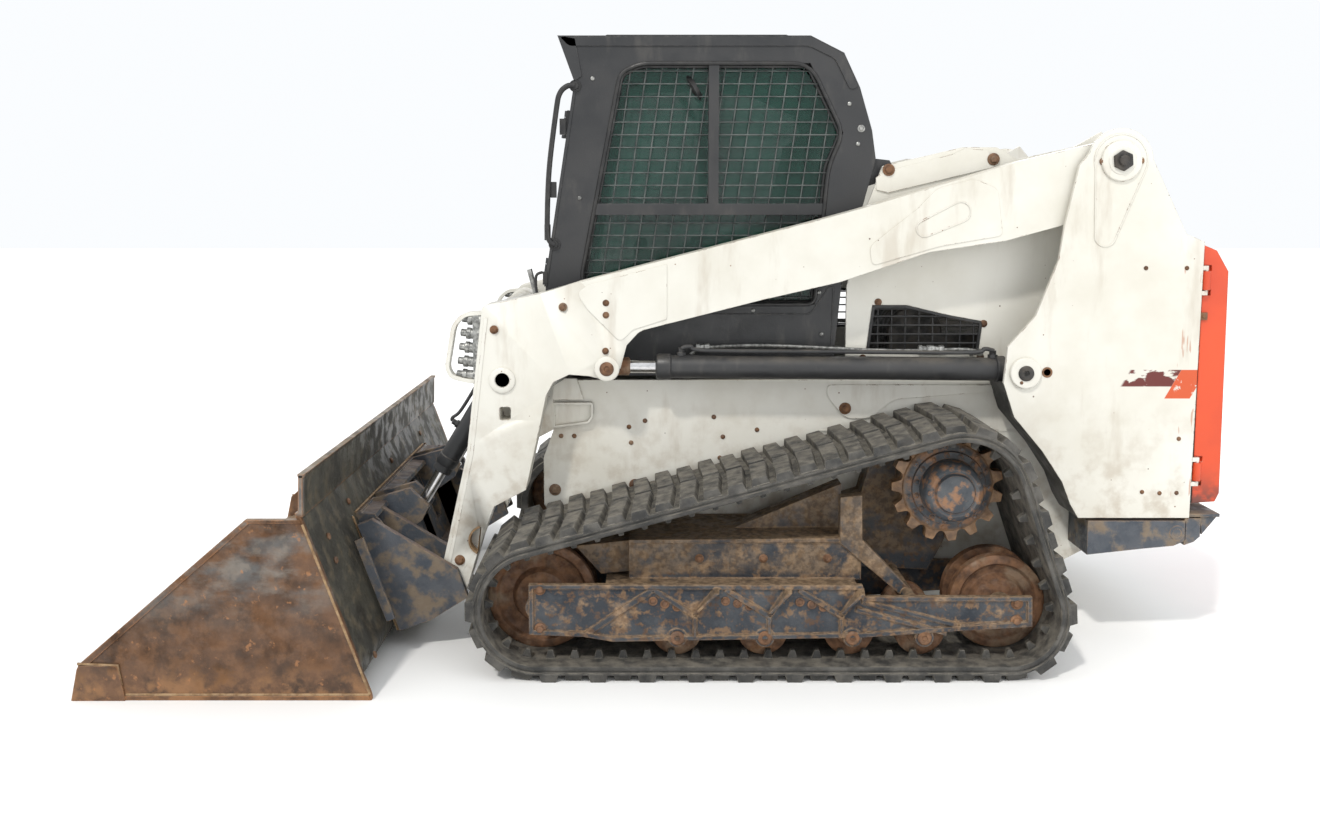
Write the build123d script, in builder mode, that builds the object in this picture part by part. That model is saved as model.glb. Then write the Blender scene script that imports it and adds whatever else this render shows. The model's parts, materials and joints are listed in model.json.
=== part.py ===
from build123d import *
import os
from math import atan2, cos, degrees, hypot, radians, sin

# A compact track loader. X points forward, Y to the machine's left, Z up; the ground is Z = 0.
# Millimetres. Outlines in the side plane are lists of (X, Z).

# ---- driving dimensions ----
ARM_PIVOT = (-1387, 1587)        # rear pins of the lift arms
ARM_PIN = (742, 198)             # front pins, which carry the quick-attach frame
LIFT_BASE = (-1107, 914)         # lift cylinder pin on the upright
LIFT_EYE = (234, 925)            # lift cylinder pin on the arm
TILT_BASE = (560, 960)           # tilt cylinder pin on the arms' cross tube
TILT_EYE = (896, 407.5)          # tilt cylinder pin on the quick-attach frame
COVER_HINGE = (-728, 1352)       # the top grille lifts about this line
CAB_PIVOT = (-690, 1563)         # the cab tips back about this line
MIDDLE = 17                      # middle of the overall length, in the outlines' X

HULL_HALF = 435                  # outer face of the hull's side walls
HULL_WALL = 12
ARM_INNER = 465                  # lift arm, from inner to outer face
ARM_OUTER = 585
ARM_MIDDLE = (ARM_INNER + ARM_OUTER) / 2
UPRIGHT_OUTER = 611              # outer face of the upright's outer plate
UPRIGHT_PLATE = 14
CAB_HALF = 430
TILT_Y = 330                     # tilt cylinders, from the middle of the machine
CAB_WALL = 40
PIN_RADIUS = 22
PIN_PLAY = 0.4                   # radial clearance round every pin
SEAT = 0.3                       # gap between pieces that seat on each other

TRACK_INNER, TRACK_OUTER = 445, 895
TRACK_MIDDLE = (TRACK_INNER + TRACK_OUTER) / 2
BAND = 28                        # rubber band's thickness
LUG = 24                         # lug height
LUG_PITCH = 86
FRONT_IDLER = (436, 222, 170)    # X, Z, radius
REAR_IDLER = (-1002, 202, 150)
SPROCKET = (-848, 562, 180)
WHEEL_GAP = 0.3                  # wheels to the band's inner face

BUCKET_HALF = 1016
SHEET = 12                       # bucket sheet
SIDE_SHEET = 16

os.makedirs("parts", exist_ok=True)


# ---- helpers ----
def side_face(outline, radii=None):
    """Closed side outline as a sketch face; radii maps a corner's index to its fillet."""
    with BuildSketch(Plane.XZ) as face:
        with BuildLine():
            Polyline(*outline, close=True)
        make_face()
        if radii:
            for index, radius in radii.items():
                fillet(face.vertices().sort_by_distance(Vector(*outline[index]))[0], radius)
    return face.sketch


def slab(outline, y_low, y_high, radii=None):
    """Plate cut to a side outline, from y_low to y_high."""
    with BuildPart() as plate:
        extrude(side_face(outline, radii), amount=y_high - y_low, dir=(0, 1, 0))
    return plate.part.solid().moved(Location((0, y_low, 0)))


def round_bar(place, radius, y_low, y_high):
    """Round bar across the machine at place (X, Z)."""
    with BuildPart() as bar:
        with Locations(Location((place[0], (y_low + y_high) / 2, place[1]), (90, 0, 0))):
            Cylinder(radius, y_high - y_low)
    return bar.part.solid()


def both_sides(part):
    """The left part and its mirror image."""
    return Compound(children=[part, mirror(part, about=Plane.XZ)])


def between(start, end, along, across=0):
    """Point at a distance along the line from start to end, and across it to its left."""
    length = hypot(end[0] - start[0], end[1] - start[1])
    ux, uz = (end[0] - start[0]) / length, (end[1] - start[1]) / length
    return (start[0] + ux * along - uz * across, start[1] + uz * along + ux * across)


def save(part, name):
    """Write one sub-part to its own file, with X = 0 at the middle of the overall length."""
    part = part.moved(Location((-MIDDLE, 0, 0)))
    part.label = name
    export_step(part, f"parts/{name}.step")


# ---- tracks ----
def belt(outset):
    """Side face of a belt round the three wheels, outset from their rims."""
    with BuildSketch(Plane.XZ) as loop:
        for x, z, radius in (FRONT_IDLER, REAR_IDLER, SPROCKET):
            with Locations((x, z)):
                Circle(radius + WHEEL_GAP + outset)
        make_hull()
    return loop.sketch


outer_wire = belt(BAND).face().outer_wire()
lug_count = 2 * round(outer_wire.length / LUG_PITCH / 2)
lug_rows = (                     # row, inner Y, outer Y
    (0, TRACK_INNER, TRACK_MIDDLE - 8),
    (1, TRACK_MIDDLE + 8, TRACK_OUTER),
)
with BuildPart() as loop:
    extrude(belt(BAND), amount=TRACK_OUTER - TRACK_INNER, dir=(0, 1, 0))
    extrude(belt(0), amount=TRACK_OUTER - TRACK_INNER, dir=(0, 1, 0), mode=Mode.SUBTRACT)
track_band = loop.part.solid().moved(Location((0, TRACK_INNER, 0)))
with BuildPart() as track:
    add(track_band)
    for row, inner, outer in lug_rows:
        with BuildSketch(Plane.XZ.offset(-inner)):
            for index in range(row, lug_count, 2):
                spot = outer_wire.position_at(index / lug_count)
                way = outer_wire.tangent_at(index / lug_count)
                with Locations(Location((spot.X, spot.Z), degrees(atan2(way.Z, way.X)))):
                    Trapezoid(66, 2 * LUG, 70)
        extrude(amount=-(outer - inner))
save(track.part, "track_left")
save(mirror(track.part, about=Plane.XZ), "track_right")

# ---- undercarriage ----
BEAM_OUTER, BEAM_INNER = 850, 490
beam_outline = [(472, 152), (464, 300), (160, 330), (-560, 330), (-700, 262), (-1062, 262), (-1066, 172),
                (-790, 100), (280, 100)]
box_outline = [(161, 300), (161, 392), (-540, 392), (-560, 480), (-640, 640), (-800, 700), (-930, 660),
               (-950, 480), (-830, 240)]
roller_table = (                 # X, Z, radius, half-width
    (11, 132, 80, 130), (-293, 132, 80, 130), (-525, 132, 80, 130), (-745, 132, 80, 130),
    (*FRONT_IDLER, 70), (*REAR_IDLER, 70),
)
with BuildPart() as frame:
    add([
        slab(beam_outline, BEAM_OUTER - 20, BEAM_OUTER),
        slab(beam_outline, BEAM_INNER, BEAM_INNER + 20),
        slab([(150, 298), (150, 322), (-550, 322), (-550, 298)], BEAM_INNER + 10, BEAM_OUTER - 10),
        slab(box_outline, HULL_HALF, BEAM_INNER + 60),
        slab([(156, 312), (156, 386), (-530, 386), (-530, 312)], BEAM_INNER + 6, 760),
        *(round_bar((x, z), 22, BEAM_INNER + 8, BEAM_OUTER + 6) for x, z, radius, half in roller_table),
        round_bar(SPROCKET, 130, HULL_HALF + 2, 600),
    ])
save(both_sides(frame.part), "track_frames")

with BuildPart() as rollers:
    for x, z, radius, half in roller_table:
        with BuildSketch(Plane.YZ) as profile:
            with BuildLine():
                Polyline((TRACK_MIDDLE - half, 22.3), (TRACK_MIDDLE - half, radius), (TRACK_MIDDLE - half + 40, radius),
                         (TRACK_MIDDLE - half + 40, radius - 16), (TRACK_MIDDLE + half - 40, radius - 16),
                         (TRACK_MIDDLE + half - 40, radius), (TRACK_MIDDLE + half, radius),
                         (TRACK_MIDDLE + half, 22.3), close=True)
            make_face()
        wheel = revolve(axis=Axis.Y, mode=Mode.PRIVATE)
        add(wheel.moved(Location((x, 0, z))))
save(both_sides(rollers.part), "rollers")

TEETH = 15
with BuildPart() as drive:
    with BuildSketch(Plane.XZ.offset(-TRACK_MIDDLE + 20)):
        with Locations((SPROCKET[0], SPROCKET[1])):
            Circle(SPROCKET[2] - 22)
            with PolarLocations(SPROCKET[2] - 27, TEETH):
                Trapezoid(40, 48, 75, rotation=-90)
    extrude(amount=-40)
    add(round_bar(SPROCKET, 118, 600.3, 720))
    add(round_bar(SPROCKET, 76, 700, 800))
save(both_sides(drive.part), "final_drives")

# ---- hull ----
tub_outline = [(421, 840), (421, 695), (455, 600), (455, 440), (330, 232), (-1290, 232), (-1640, 420),
               (-1640, 850), (-560, 850), (-560, 866), (380, 866)]
with BuildPart() as tub:
    add(slab(tub_outline, -HULL_HALF, HULL_HALF))
    offset(amount=-HULL_WALL, mode=Mode.SUBTRACT, kind=Kind.INTERSECTION)
    with Locations((-1090, 0, 850)):
        Box(1040, 2 * (HULL_HALF - HULL_WALL), 60, mode=Mode.SUBTRACT)
save(tub.part, "hull_tub")

wall_outline = [(-560, 850), (-560, 1180), (-622, 1443), (-672, 1578), (-934, 1639), (-1045, 1639), (-1116, 1600),
                (-1300, 1640), (-1389, 1689), (-1465, 1601), (-1604, 1358), (-1660, 1333), (-1656, 850)]
VENT = [(-628, 960), (-647, 1118), (-760, 1118), (-900, 1085), (-1016, 1064), (-1004, 960)]
with BuildPart() as wall:
    add(slab(wall_outline, HULL_HALF - UPRIGHT_PLATE, HULL_HALF))
    add(slab(VENT, HULL_HALF - 20, HULL_HALF + 1), mode=Mode.SUBTRACT)
    add(round_bar(ARM_PIVOT, PIN_RADIUS, HULL_HALF - 20, HULL_HALF + 1), mode=Mode.SUBTRACT)
    add(round_bar(CAB_PIVOT, 12, HULL_HALF - 20, HULL_HALF + 1), mode=Mode.SUBTRACT)
    add(round_bar(COVER_HINGE, 10 + PIN_PLAY, HULL_HALF - 20, HULL_HALF + 1), mode=Mode.SUBTRACT)
save(both_sides(wall.part), "inner_walls")

upright_outline = [(-1465, 1640), (-1310, 1640), (-1258, 1574), (-1217, 1380), (-1203, 1276),
                   (-1136, 1097), (-1050, 998), (-1040, 880), (-1077, 771), (-1171, 660), (-1239, 558),
                   (-1268, 485), (-1295, 439), (-1656, 439), (-1663, 1333), (-1604, 1358)]
GATE_HINGE = (-1678, 600)         # X, Y of the tailgate's vertical hinge pins
GATE_KNUCKLES = (590, 1210)
with BuildPart() as hinge_pins:
    for z in GATE_KNUCKLES:
        with Locations((*GATE_HINGE, z)):
            Cylinder(6, 90)
        with Locations((-1667, 601, z - 40), (-1667, 601, z + 40)):
            Box(30, 10, 14)
        with Locations((-1652, 601, z)):
            Box(16, 10, 94)
with BuildPart() as upright:
    add(slab(upright_outline, UPRIGHT_OUTER - UPRIGHT_PLATE, UPRIGHT_OUTER))
    add(round_bar(ARM_PIVOT, 102, UPRIGHT_OUTER - UPRIGHT_PLATE, UPRIGHT_OUTER))
    add(slab([(-1656, 439), (-1640, 439), (-1640, 1333), (-1656, 1333)], HULL_HALF + 0.2,
             UPRIGHT_OUTER - UPRIGHT_PLATE / 2))
    add(slab([(-1656, 439), (-1656, 453), (-1302, 453), (-1295, 439)], HULL_HALF + 0.2,
             UPRIGHT_OUTER - UPRIGHT_PLATE / 2))
    add(round_bar(ARM_PIVOT, 56, UPRIGHT_OUTER - UPRIGHT_PLATE, UPRIGHT_OUTER + 10))
    add(round_bar(ARM_PIVOT, PIN_RADIUS, HULL_HALF - UPRIGHT_PLATE, UPRIGHT_OUTER + 18))
    add(round_bar(LIFT_BASE, 48, UPRIGHT_OUTER - UPRIGHT_PLATE, UPRIGHT_OUTER + 10))
    add(round_bar(LIFT_BASE, PIN_RADIUS, HULL_HALF + 0.2, UPRIGHT_OUTER + 16))
with BuildPart() as left_upright:
    add(upright.part)
    add(hinge_pins.part)
save(Compound(children=[left_upright.part.solid(), mirror(upright.part.solid(), about=Plane.XZ)]), "uprights")

with BuildPart() as engine:
    with Locations((-1000, 0, 627.3)):
        Box(540, 620, 766)
save(engine.part, "engine_block")

BUMPER_REAR = -1720
bumper_side = [(-1328, 429), (-1650, 429), (-1650, 362), (-1611, 345), (-1508, 335), (-1329, 315)]
bumper_bar = [(-1646, 437), (BUMPER_REAR, 437), (BUMPER_REAR, 380), (BUMPER_REAR + 20, 362), (-1646, 350)]
with BuildPart() as bumper:
    add(slab(bumper_bar, -UPRIGHT_OUTER, UPRIGHT_OUTER))
    add(slab(bumper_side, HULL_HALF + 0.3, UPRIGHT_OUTER - 2))
    add(slab(bumper_side, 2 - UPRIGHT_OUTER, -HULL_HALF - 0.3))
save(bumper.part, "rear_bumper")

# ---- cab ----
cab_outline = [(448, 880), (443, 1180), (343, 1852), (397, 2000), (-430, 2000), (-540, 1945), (-594, 1833),
               (-636, 1694), (-650, 1600), (-545, 1202), (-525, 985), (-525, 880)]
window_outline = [(193, 1881), (124, 1911), (-430, 1911), (-541, 1686), (-494, 1574), (-455, 1120), (250, 1120),
                  (327, 1196)]
DOOR_HALF = 320
DOOR_LOW, DOOR_HIGH = 1100, 1845
DOOR_AXIS = ((465, 1106), (363, 1840))   # the door's leaning hinge line, low and high end
DOOR_HINGE_Y = 322
door_lean = degrees(atan2(DOOR_AXIS[1][0] - DOOR_AXIS[0][0], DOOR_AXIS[1][1] - DOOR_AXIS[0][1]))


def on_door_hinge(along):
    """Place on the door's hinge line, turned to lean with it."""
    x, z = between(*DOOR_AXIS, along)
    return Location((x, DOOR_HINGE_Y, z), (0, door_lean, 0))


DOOR_KNUCKLES = (120, 620)
with BuildPart() as shell:
    add(slab(cab_outline, -CAB_HALF, CAB_HALF))
    with BuildSketch(Plane.XZ.offset(CAB_HALF - CAB_WALL)):
        with BuildLine():
            Polyline(*cab_outline, close=True)
        make_face()
        offset(amount=-CAB_WALL, mode=Mode.REPLACE, kind=Kind.INTERSECTION)
    extrude(amount=-2 * (CAB_HALF - CAB_WALL), mode=Mode.SUBTRACT)
    add(slab(window_outline, -CAB_HALF - 10, CAB_HALF + 10), mode=Mode.SUBTRACT)
    with Locations((400, 0, (DOOR_LOW + DOOR_HIGH) / 2)):
        Box(240, 2 * DOOR_HALF, DOOR_HIGH - DOOR_LOW, mode=Mode.SUBTRACT)
    with Locations((-600, 0, 1450)):
        Box(240, 2 * DOOR_HALF, 360, mode=Mode.SUBTRACT)
    for side in (-1, 1):
        with Locations((-80, side * (CAB_HALF - 15), 1436)):
            Box(860, 30, 38)
        with Locations((-115, side * (CAB_HALF - 15), 1670)):
            Box(34, 30, 490)
    for side in (-1, 1):
        low, high = sorted((side * 375, side * 405))
        add(slab([(-590, 1610), (-700, 1598), (-722, 1563), (-700, 1535), (-590, 1500)], low, high))
        low, high = sorted((side * 378, side * (HULL_HALF - 1)))
        add(round_bar(CAB_PIVOT, 11.6, low, high))
    for along in DOOR_KNUCKLES:
        with Locations(on_door_hinge(along - 36), on_door_hinge(along + 36)):
            Cylinder(9, 20)
        with Locations(on_door_hinge(along)):
            Cylinder(4, 60)
        with Locations(on_door_hinge(along) * Location((-8, 26, 0))):
            Box(12, 30, 92)
        with Locations(on_door_hinge(along - 36) * Location((-6, 9, 0)), on_door_hinge(along + 36) * Location((-6, 9, 0))):
            Box(12, 16, 20)
save(shell.part, "cab_shell")

with BuildPart() as panes:
    add(slab(window_outline, CAB_HALF - 38, CAB_HALF - 33))
save(both_sides(panes.part), "side_panes")

with BuildPart() as seat:
    with Locations((-150, 0, 1010)):
        Box(400, 420, 180)
    with Locations((-160, 0, 1160)):
        Box(480, 480, 120)
    with Locations(Location((-400, 0, 1440), (0, -12, 0))):
        Box(110, 460, 560)
save(seat.part, "seat")

with BuildPart() as levers:
    for side in (-1, 1):
        with Locations((130, side * 280, 1060)):
            Box(60, 60, 280)
        with Locations((130, side * 280, 1260)):
            Cylinder(18, 130)
save(levers.part, "control_levers")

with BuildPart() as door:
    add(slab([(420, 1106), (319, 1840), (351, 1840), (452, 1106)], -DOOR_HALF + 6, DOOR_HALF - 6))
    with Locations((410, 0, 1470)):
        Box(300, 2 * DOOR_HALF - 110, 600, mode=Mode.SUBTRACT)
    for along in DOOR_KNUCKLES:
        with Locations(on_door_hinge(along)):
            Cylinder(9, 48)
        with Locations(on_door_hinge(along) * Location((-7, -16, 0))):
            Box(10, 28, 48)
        with Locations(on_door_hinge(along)):
            Cylinder(4 + PIN_PLAY, 48, mode=Mode.SUBTRACT)
save(door.part, "door_frame")
with BuildPart() as door_pane:
    add(slab([(426, 1170.3), (343, 1769.7), (348, 1769.7), (431, 1170.3)], -DOOR_HALF + 55.3, DOOR_HALF - 55.3))
save(door_pane.part, "door_pane")

# ---- rear doors ----
GATE_HALF = 590
gate_outline = [(-1672, 1322), (-1713, 1305), (-1753, 1238), (-1759, 516), (-1746, 488), (-1672, 483)]
with BuildPart() as gate:
    add(slab(gate_outline, -GATE_HALF, GATE_HALF))
    with Locations((-1690, 0, 890)):
        Box(100, 2 * GATE_HALF - 60, 730, mode=Mode.SUBTRACT)
    with Locations(*((*GATE_HINGE, z) for z in GATE_KNUCKLES)):
        Cylinder(13, 60)
        Cylinder(6 + PIN_PLAY, 60, mode=Mode.SUBTRACT)
    with Locations(*((GATE_HINGE[0] - 4, GATE_HINGE[1] - 7, z + end * 39) for z in GATE_KNUCKLES for end in (-1, 1))):
        Box(34, 26, 18, mode=Mode.SUBTRACT)
save(gate.part, "tailgate")

with BuildPart() as cover:
    with Locations((-1165, 0, 1352)):
        Box(900, 2 * (HULL_HALF - UPRIGHT_PLATE - 6), 26)
    with Locations((-1165, 0, 1352)):
        with GridLocations(0, 90, 1, 8):
            Box(780, 50, 40, mode=Mode.SUBTRACT)
    for side in (-1, 1):
        low, high = sorted((side * 400, side * (HULL_HALF - 3)))
        add(round_bar(COVER_HINGE, 10, low, high))
save(cover.part, "engine_cover")

# ---- lift arms ----
arm_outline = [(-1370, 1656), (-1071, 1585), (-810, 1506), (-576, 1437), (-447, 1402), (5, 1286), (319, 1204),
               (447, 1166), (634, 1127), (690, 648), (778, 264), (786, 198), (742, 156), (698, 190), (650, 350),
               (604, 470), (500, 525), (449, 753), (431, 838), (406, 881), (356, 905), (290, 900), (234, 884),
               (190, 925), (170, 1000), (127, 1047), (-258, 1145), (-514, 1204), (-799, 1300), (-1038, 1335),
               (-1224, 1386), (-1330, 1500), (-1400, 1520)]
CLEVIS_WALL = 20
with BuildPart() as arm:
    add(slab(arm_outline, ARM_INNER, ARM_OUTER, {9: 300, 12: 30, 25: 60, 8: 20}))
    add(round_bar(ARM_PIVOT, 70, ARM_INNER, ARM_OUTER))
    add(round_bar(ARM_PIVOT, PIN_RADIUS + PIN_PLAY, ARM_INNER, ARM_OUTER), mode=Mode.SUBTRACT)
    add(round_bar(ARM_PIN, PIN_RADIUS + PIN_PLAY, ARM_INNER, ARM_OUTER), mode=Mode.SUBTRACT)
    add(slab([(60, 860), (60, 1040), (290, 1040), (330, 860)], ARM_INNER + CLEVIS_WALL, ARM_OUTER - CLEVIS_WALL),
        mode=Mode.SUBTRACT)
    add(round_bar(LIFT_EYE, 41, ARM_OUTER - CLEVIS_WALL, ARM_OUTER + 8))
    add(round_bar(LIFT_EYE, 41, ARM_INNER - 8, ARM_INNER + CLEVIS_WALL))
with BuildPart() as arms:
    add(arm.part)
    add(mirror(arm.part, about=Plane.XZ))
    add(round_bar((600, 1072), 45, -ARM_INNER - 12, ARM_INNER + 12))
    for side in (-1, 1):
        for y in (side * TILT_Y - 50, side * TILT_Y + 38):
            add(slab([(525, 925), (595, 925), (632, 1060), (595, 1100), (555, 1060)], y, y + 12))
        add(round_bar(TILT_BASE, PIN_RADIUS, side * TILT_Y - 50, side * TILT_Y + 50))
save(arms.part, "lift_arms")

# ---- cylinders ----
LIFT_BARREL = 1180
TILT_BARREL = 500


def barrel(base, end, length, outer, rod_radius, eye_width, y):
    """Cylinder barrel from its base eye towards end, bored for its rod."""
    tilt = degrees(atan2(end[1] - base[1], end[0] - base[0]))
    neck = outer + 6
    with BuildPart() as tube:
        with Locations(Location(((length + neck) / 2, 0, 0), (0, 90, 0))):
            Cylinder(outer, length - neck)
        with Locations(Location((0, 0, 0), (90, 0, 0))):
            Cylinder(outer, eye_width)
        with Locations((neck / 2, 0, 0)):
            Box(neck + 4, eye_width - 8, outer * 1.3)
        with Locations(Location((0, 0, 0), (90, 0, 0))):
            Cylinder(PIN_RADIUS + PIN_PLAY, 3 * outer, mode=Mode.SUBTRACT)
        with Locations(Location(((length + neck) / 2 + 10, 0, 0), (0, 90, 0))):
            Cylinder(rod_radius + PIN_PLAY, length - neck, mode=Mode.SUBTRACT)
    return tube.part.solid().moved(Location((base[0], y, base[1]), (0, -tilt, 0)))


def rod(base, end, start, length_to_eye, radius, eye_radius, eye_width, y):
    """Cylinder rod from inside the barrel to the eye at end."""
    tilt = degrees(atan2(end[1] - base[1], end[0] - base[0]))
    with BuildPart() as bar:
        with Locations(Location(((start + length_to_eye - eye_radius) / 2, 0, 0), (0, 90, 0))):
            Cylinder(radius, length_to_eye - eye_radius + 6 - start)
        with Locations(Location((length_to_eye, 0, 0), (90, 0, 0))):
            Cylinder(eye_radius, eye_width)
            Cylinder(PIN_RADIUS + PIN_PLAY, eye_width, mode=Mode.SUBTRACT)
    return bar.part.solid().moved(Location((base[0], y, base[1]), (0, -tilt, 0)))


lift_length = hypot(LIFT_EYE[0] - LIFT_BASE[0], LIFT_EYE[1] - LIFT_BASE[1])
tilt_length = hypot(TILT_EYE[0] - TILT_BASE[0], TILT_EYE[1] - TILT_BASE[1])
save(both_sides(barrel(LIFT_BASE, LIFT_EYE, LIFT_BARREL, 38, 22, 60, ARM_MIDDLE)), "lift_barrels")
save(both_sides(rod(LIFT_BASE, LIFT_EYE, 330, lift_length, 22, 36, 60, ARM_MIDDLE)), "lift_rods")
save(both_sides(barrel(TILT_BASE, TILT_EYE, TILT_BARREL, 34, 20, 60, TILT_Y)), "tilt_barrels")
save(both_sides(rod(TILT_BASE, TILT_EYE, 168, tilt_length, 20, 30, 50, TILT_Y)), "tilt_rods")

# ---- quick-attach frame and bucket ----
HEEL = (905, 0)
BACK_TOP = (1110, 565)


def on_back(along, behind):
    """Point by its distance up the bucket's back sheet and behind it."""
    return between(HEEL, BACK_TOP, along, behind)


TILT_EAR_GAP = 39                # from a tilt cylinder's middle to the ear beside it
TILT_EAR = 20
with BuildPart() as attach:
    add(slab([on_back(60, SEAT), on_back(470, SEAT), on_back(470, 19), on_back(60, 19)], -560, 560))
    add(slab([on_back(60, SEAT), on_back(90, 70), on_back(120, 70), on_back(130, SEAT)], -560, 560))
    add(slab([on_back(420, SEAT), on_back(430, 60), on_back(445, 60), on_back(470, SEAT)], -560, 560))
    for side in (-1, 1):
        add(slab([on_back(200, SEAT - 1), on_back(480, SEAT - 1), on_back(480, 70), on_back(200, 70)],
                 side * TILT_Y - TILT_EAR_GAP, side * TILT_Y + TILT_EAR_GAP), mode=Mode.SUBTRACT)
        for inner in (ARM_INNER - 28, ARM_OUTER + 6):
            low, high = sorted((side * inner, side * (inner + 22)))
            add(slab([on_back(60, 10), on_back(440, 10), on_back(440, 60), on_back(190, 262), on_back(90, 262),
                      on_back(60, 120)], low, high))
        low, high = sorted((side * (ARM_INNER - 28), side * (ARM_OUTER + 28)))
        add(round_bar(ARM_PIN, PIN_RADIUS, low, high))
        for y in (side * TILT_Y - TILT_EAR_GAP - TILT_EAR, side * TILT_Y + TILT_EAR_GAP):
            add(slab([on_back(300, 10), on_back(470, 10), on_back(460, 150), on_back(380, 190), on_back(340, 150)],
                     y, y + TILT_EAR))
        for low, high in ((-TILT_EAR_GAP - TILT_EAR, -26), (26, TILT_EAR_GAP + TILT_EAR)):
            add(round_bar(TILT_EYE, PIN_RADIUS, side * TILT_Y + low, side * TILT_Y + high))
save(attach.part, "attach_frame")

shell_profile = [(1700, 0), HEEL, BACK_TOP, between(HEEL, BACK_TOP, hypot(205, 565), -SHEET),
                 between(HEEL, BACK_TOP, 10 + SHEET, -SHEET), (1700, SHEET)]
side_profile = [(1793, 0), (1770, 107), (1265, 542), (1106, 542), (912, 12), (912, 0)]
with BuildPart() as bucket:
    add(slab(shell_profile, -BUCKET_HALF, BUCKET_HALF, {1: 92, 4: 80}))
    add(slab([(1098, 550), (1095, 671), (1107, 671), (1112, 550)], -BUCKET_HALF, BUCKET_HALF))
    for y in (-BUCKET_HALF, BUCKET_HALF - SIDE_SHEET):
        add(slab(side_profile, y, y + SIDE_SHEET, {4: 60}))
save(bucket.part, "bucket_shell")
with BuildPart() as edge:
    add(slab([(1700.3, 0), (1700.3, 20), (1760, 20), (1793, 0)], -BUCKET_HALF + SIDE_SHEET + 0.3,
             BUCKET_HALF - SIDE_SHEET - 0.3))
save(edge.part, "cutting_edge")
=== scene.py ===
import json
import math

import bmesh
import bpy
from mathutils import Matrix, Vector


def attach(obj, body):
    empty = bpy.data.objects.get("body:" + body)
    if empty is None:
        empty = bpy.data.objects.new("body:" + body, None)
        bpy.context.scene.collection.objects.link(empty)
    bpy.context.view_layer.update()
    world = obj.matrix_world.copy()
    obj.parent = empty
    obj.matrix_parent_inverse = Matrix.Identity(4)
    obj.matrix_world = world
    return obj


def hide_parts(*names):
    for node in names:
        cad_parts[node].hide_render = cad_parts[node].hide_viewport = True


# A compact track loader in metres: X forwards, Y to the machine's left, Z up.
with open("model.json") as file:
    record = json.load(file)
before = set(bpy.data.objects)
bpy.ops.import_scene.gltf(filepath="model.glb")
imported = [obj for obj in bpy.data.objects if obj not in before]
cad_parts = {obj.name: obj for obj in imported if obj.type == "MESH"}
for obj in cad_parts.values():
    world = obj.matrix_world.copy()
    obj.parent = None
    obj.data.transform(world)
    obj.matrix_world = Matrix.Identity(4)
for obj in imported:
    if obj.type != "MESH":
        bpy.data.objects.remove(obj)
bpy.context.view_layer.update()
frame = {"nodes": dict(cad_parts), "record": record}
nodes = frame["nodes"]


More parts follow.
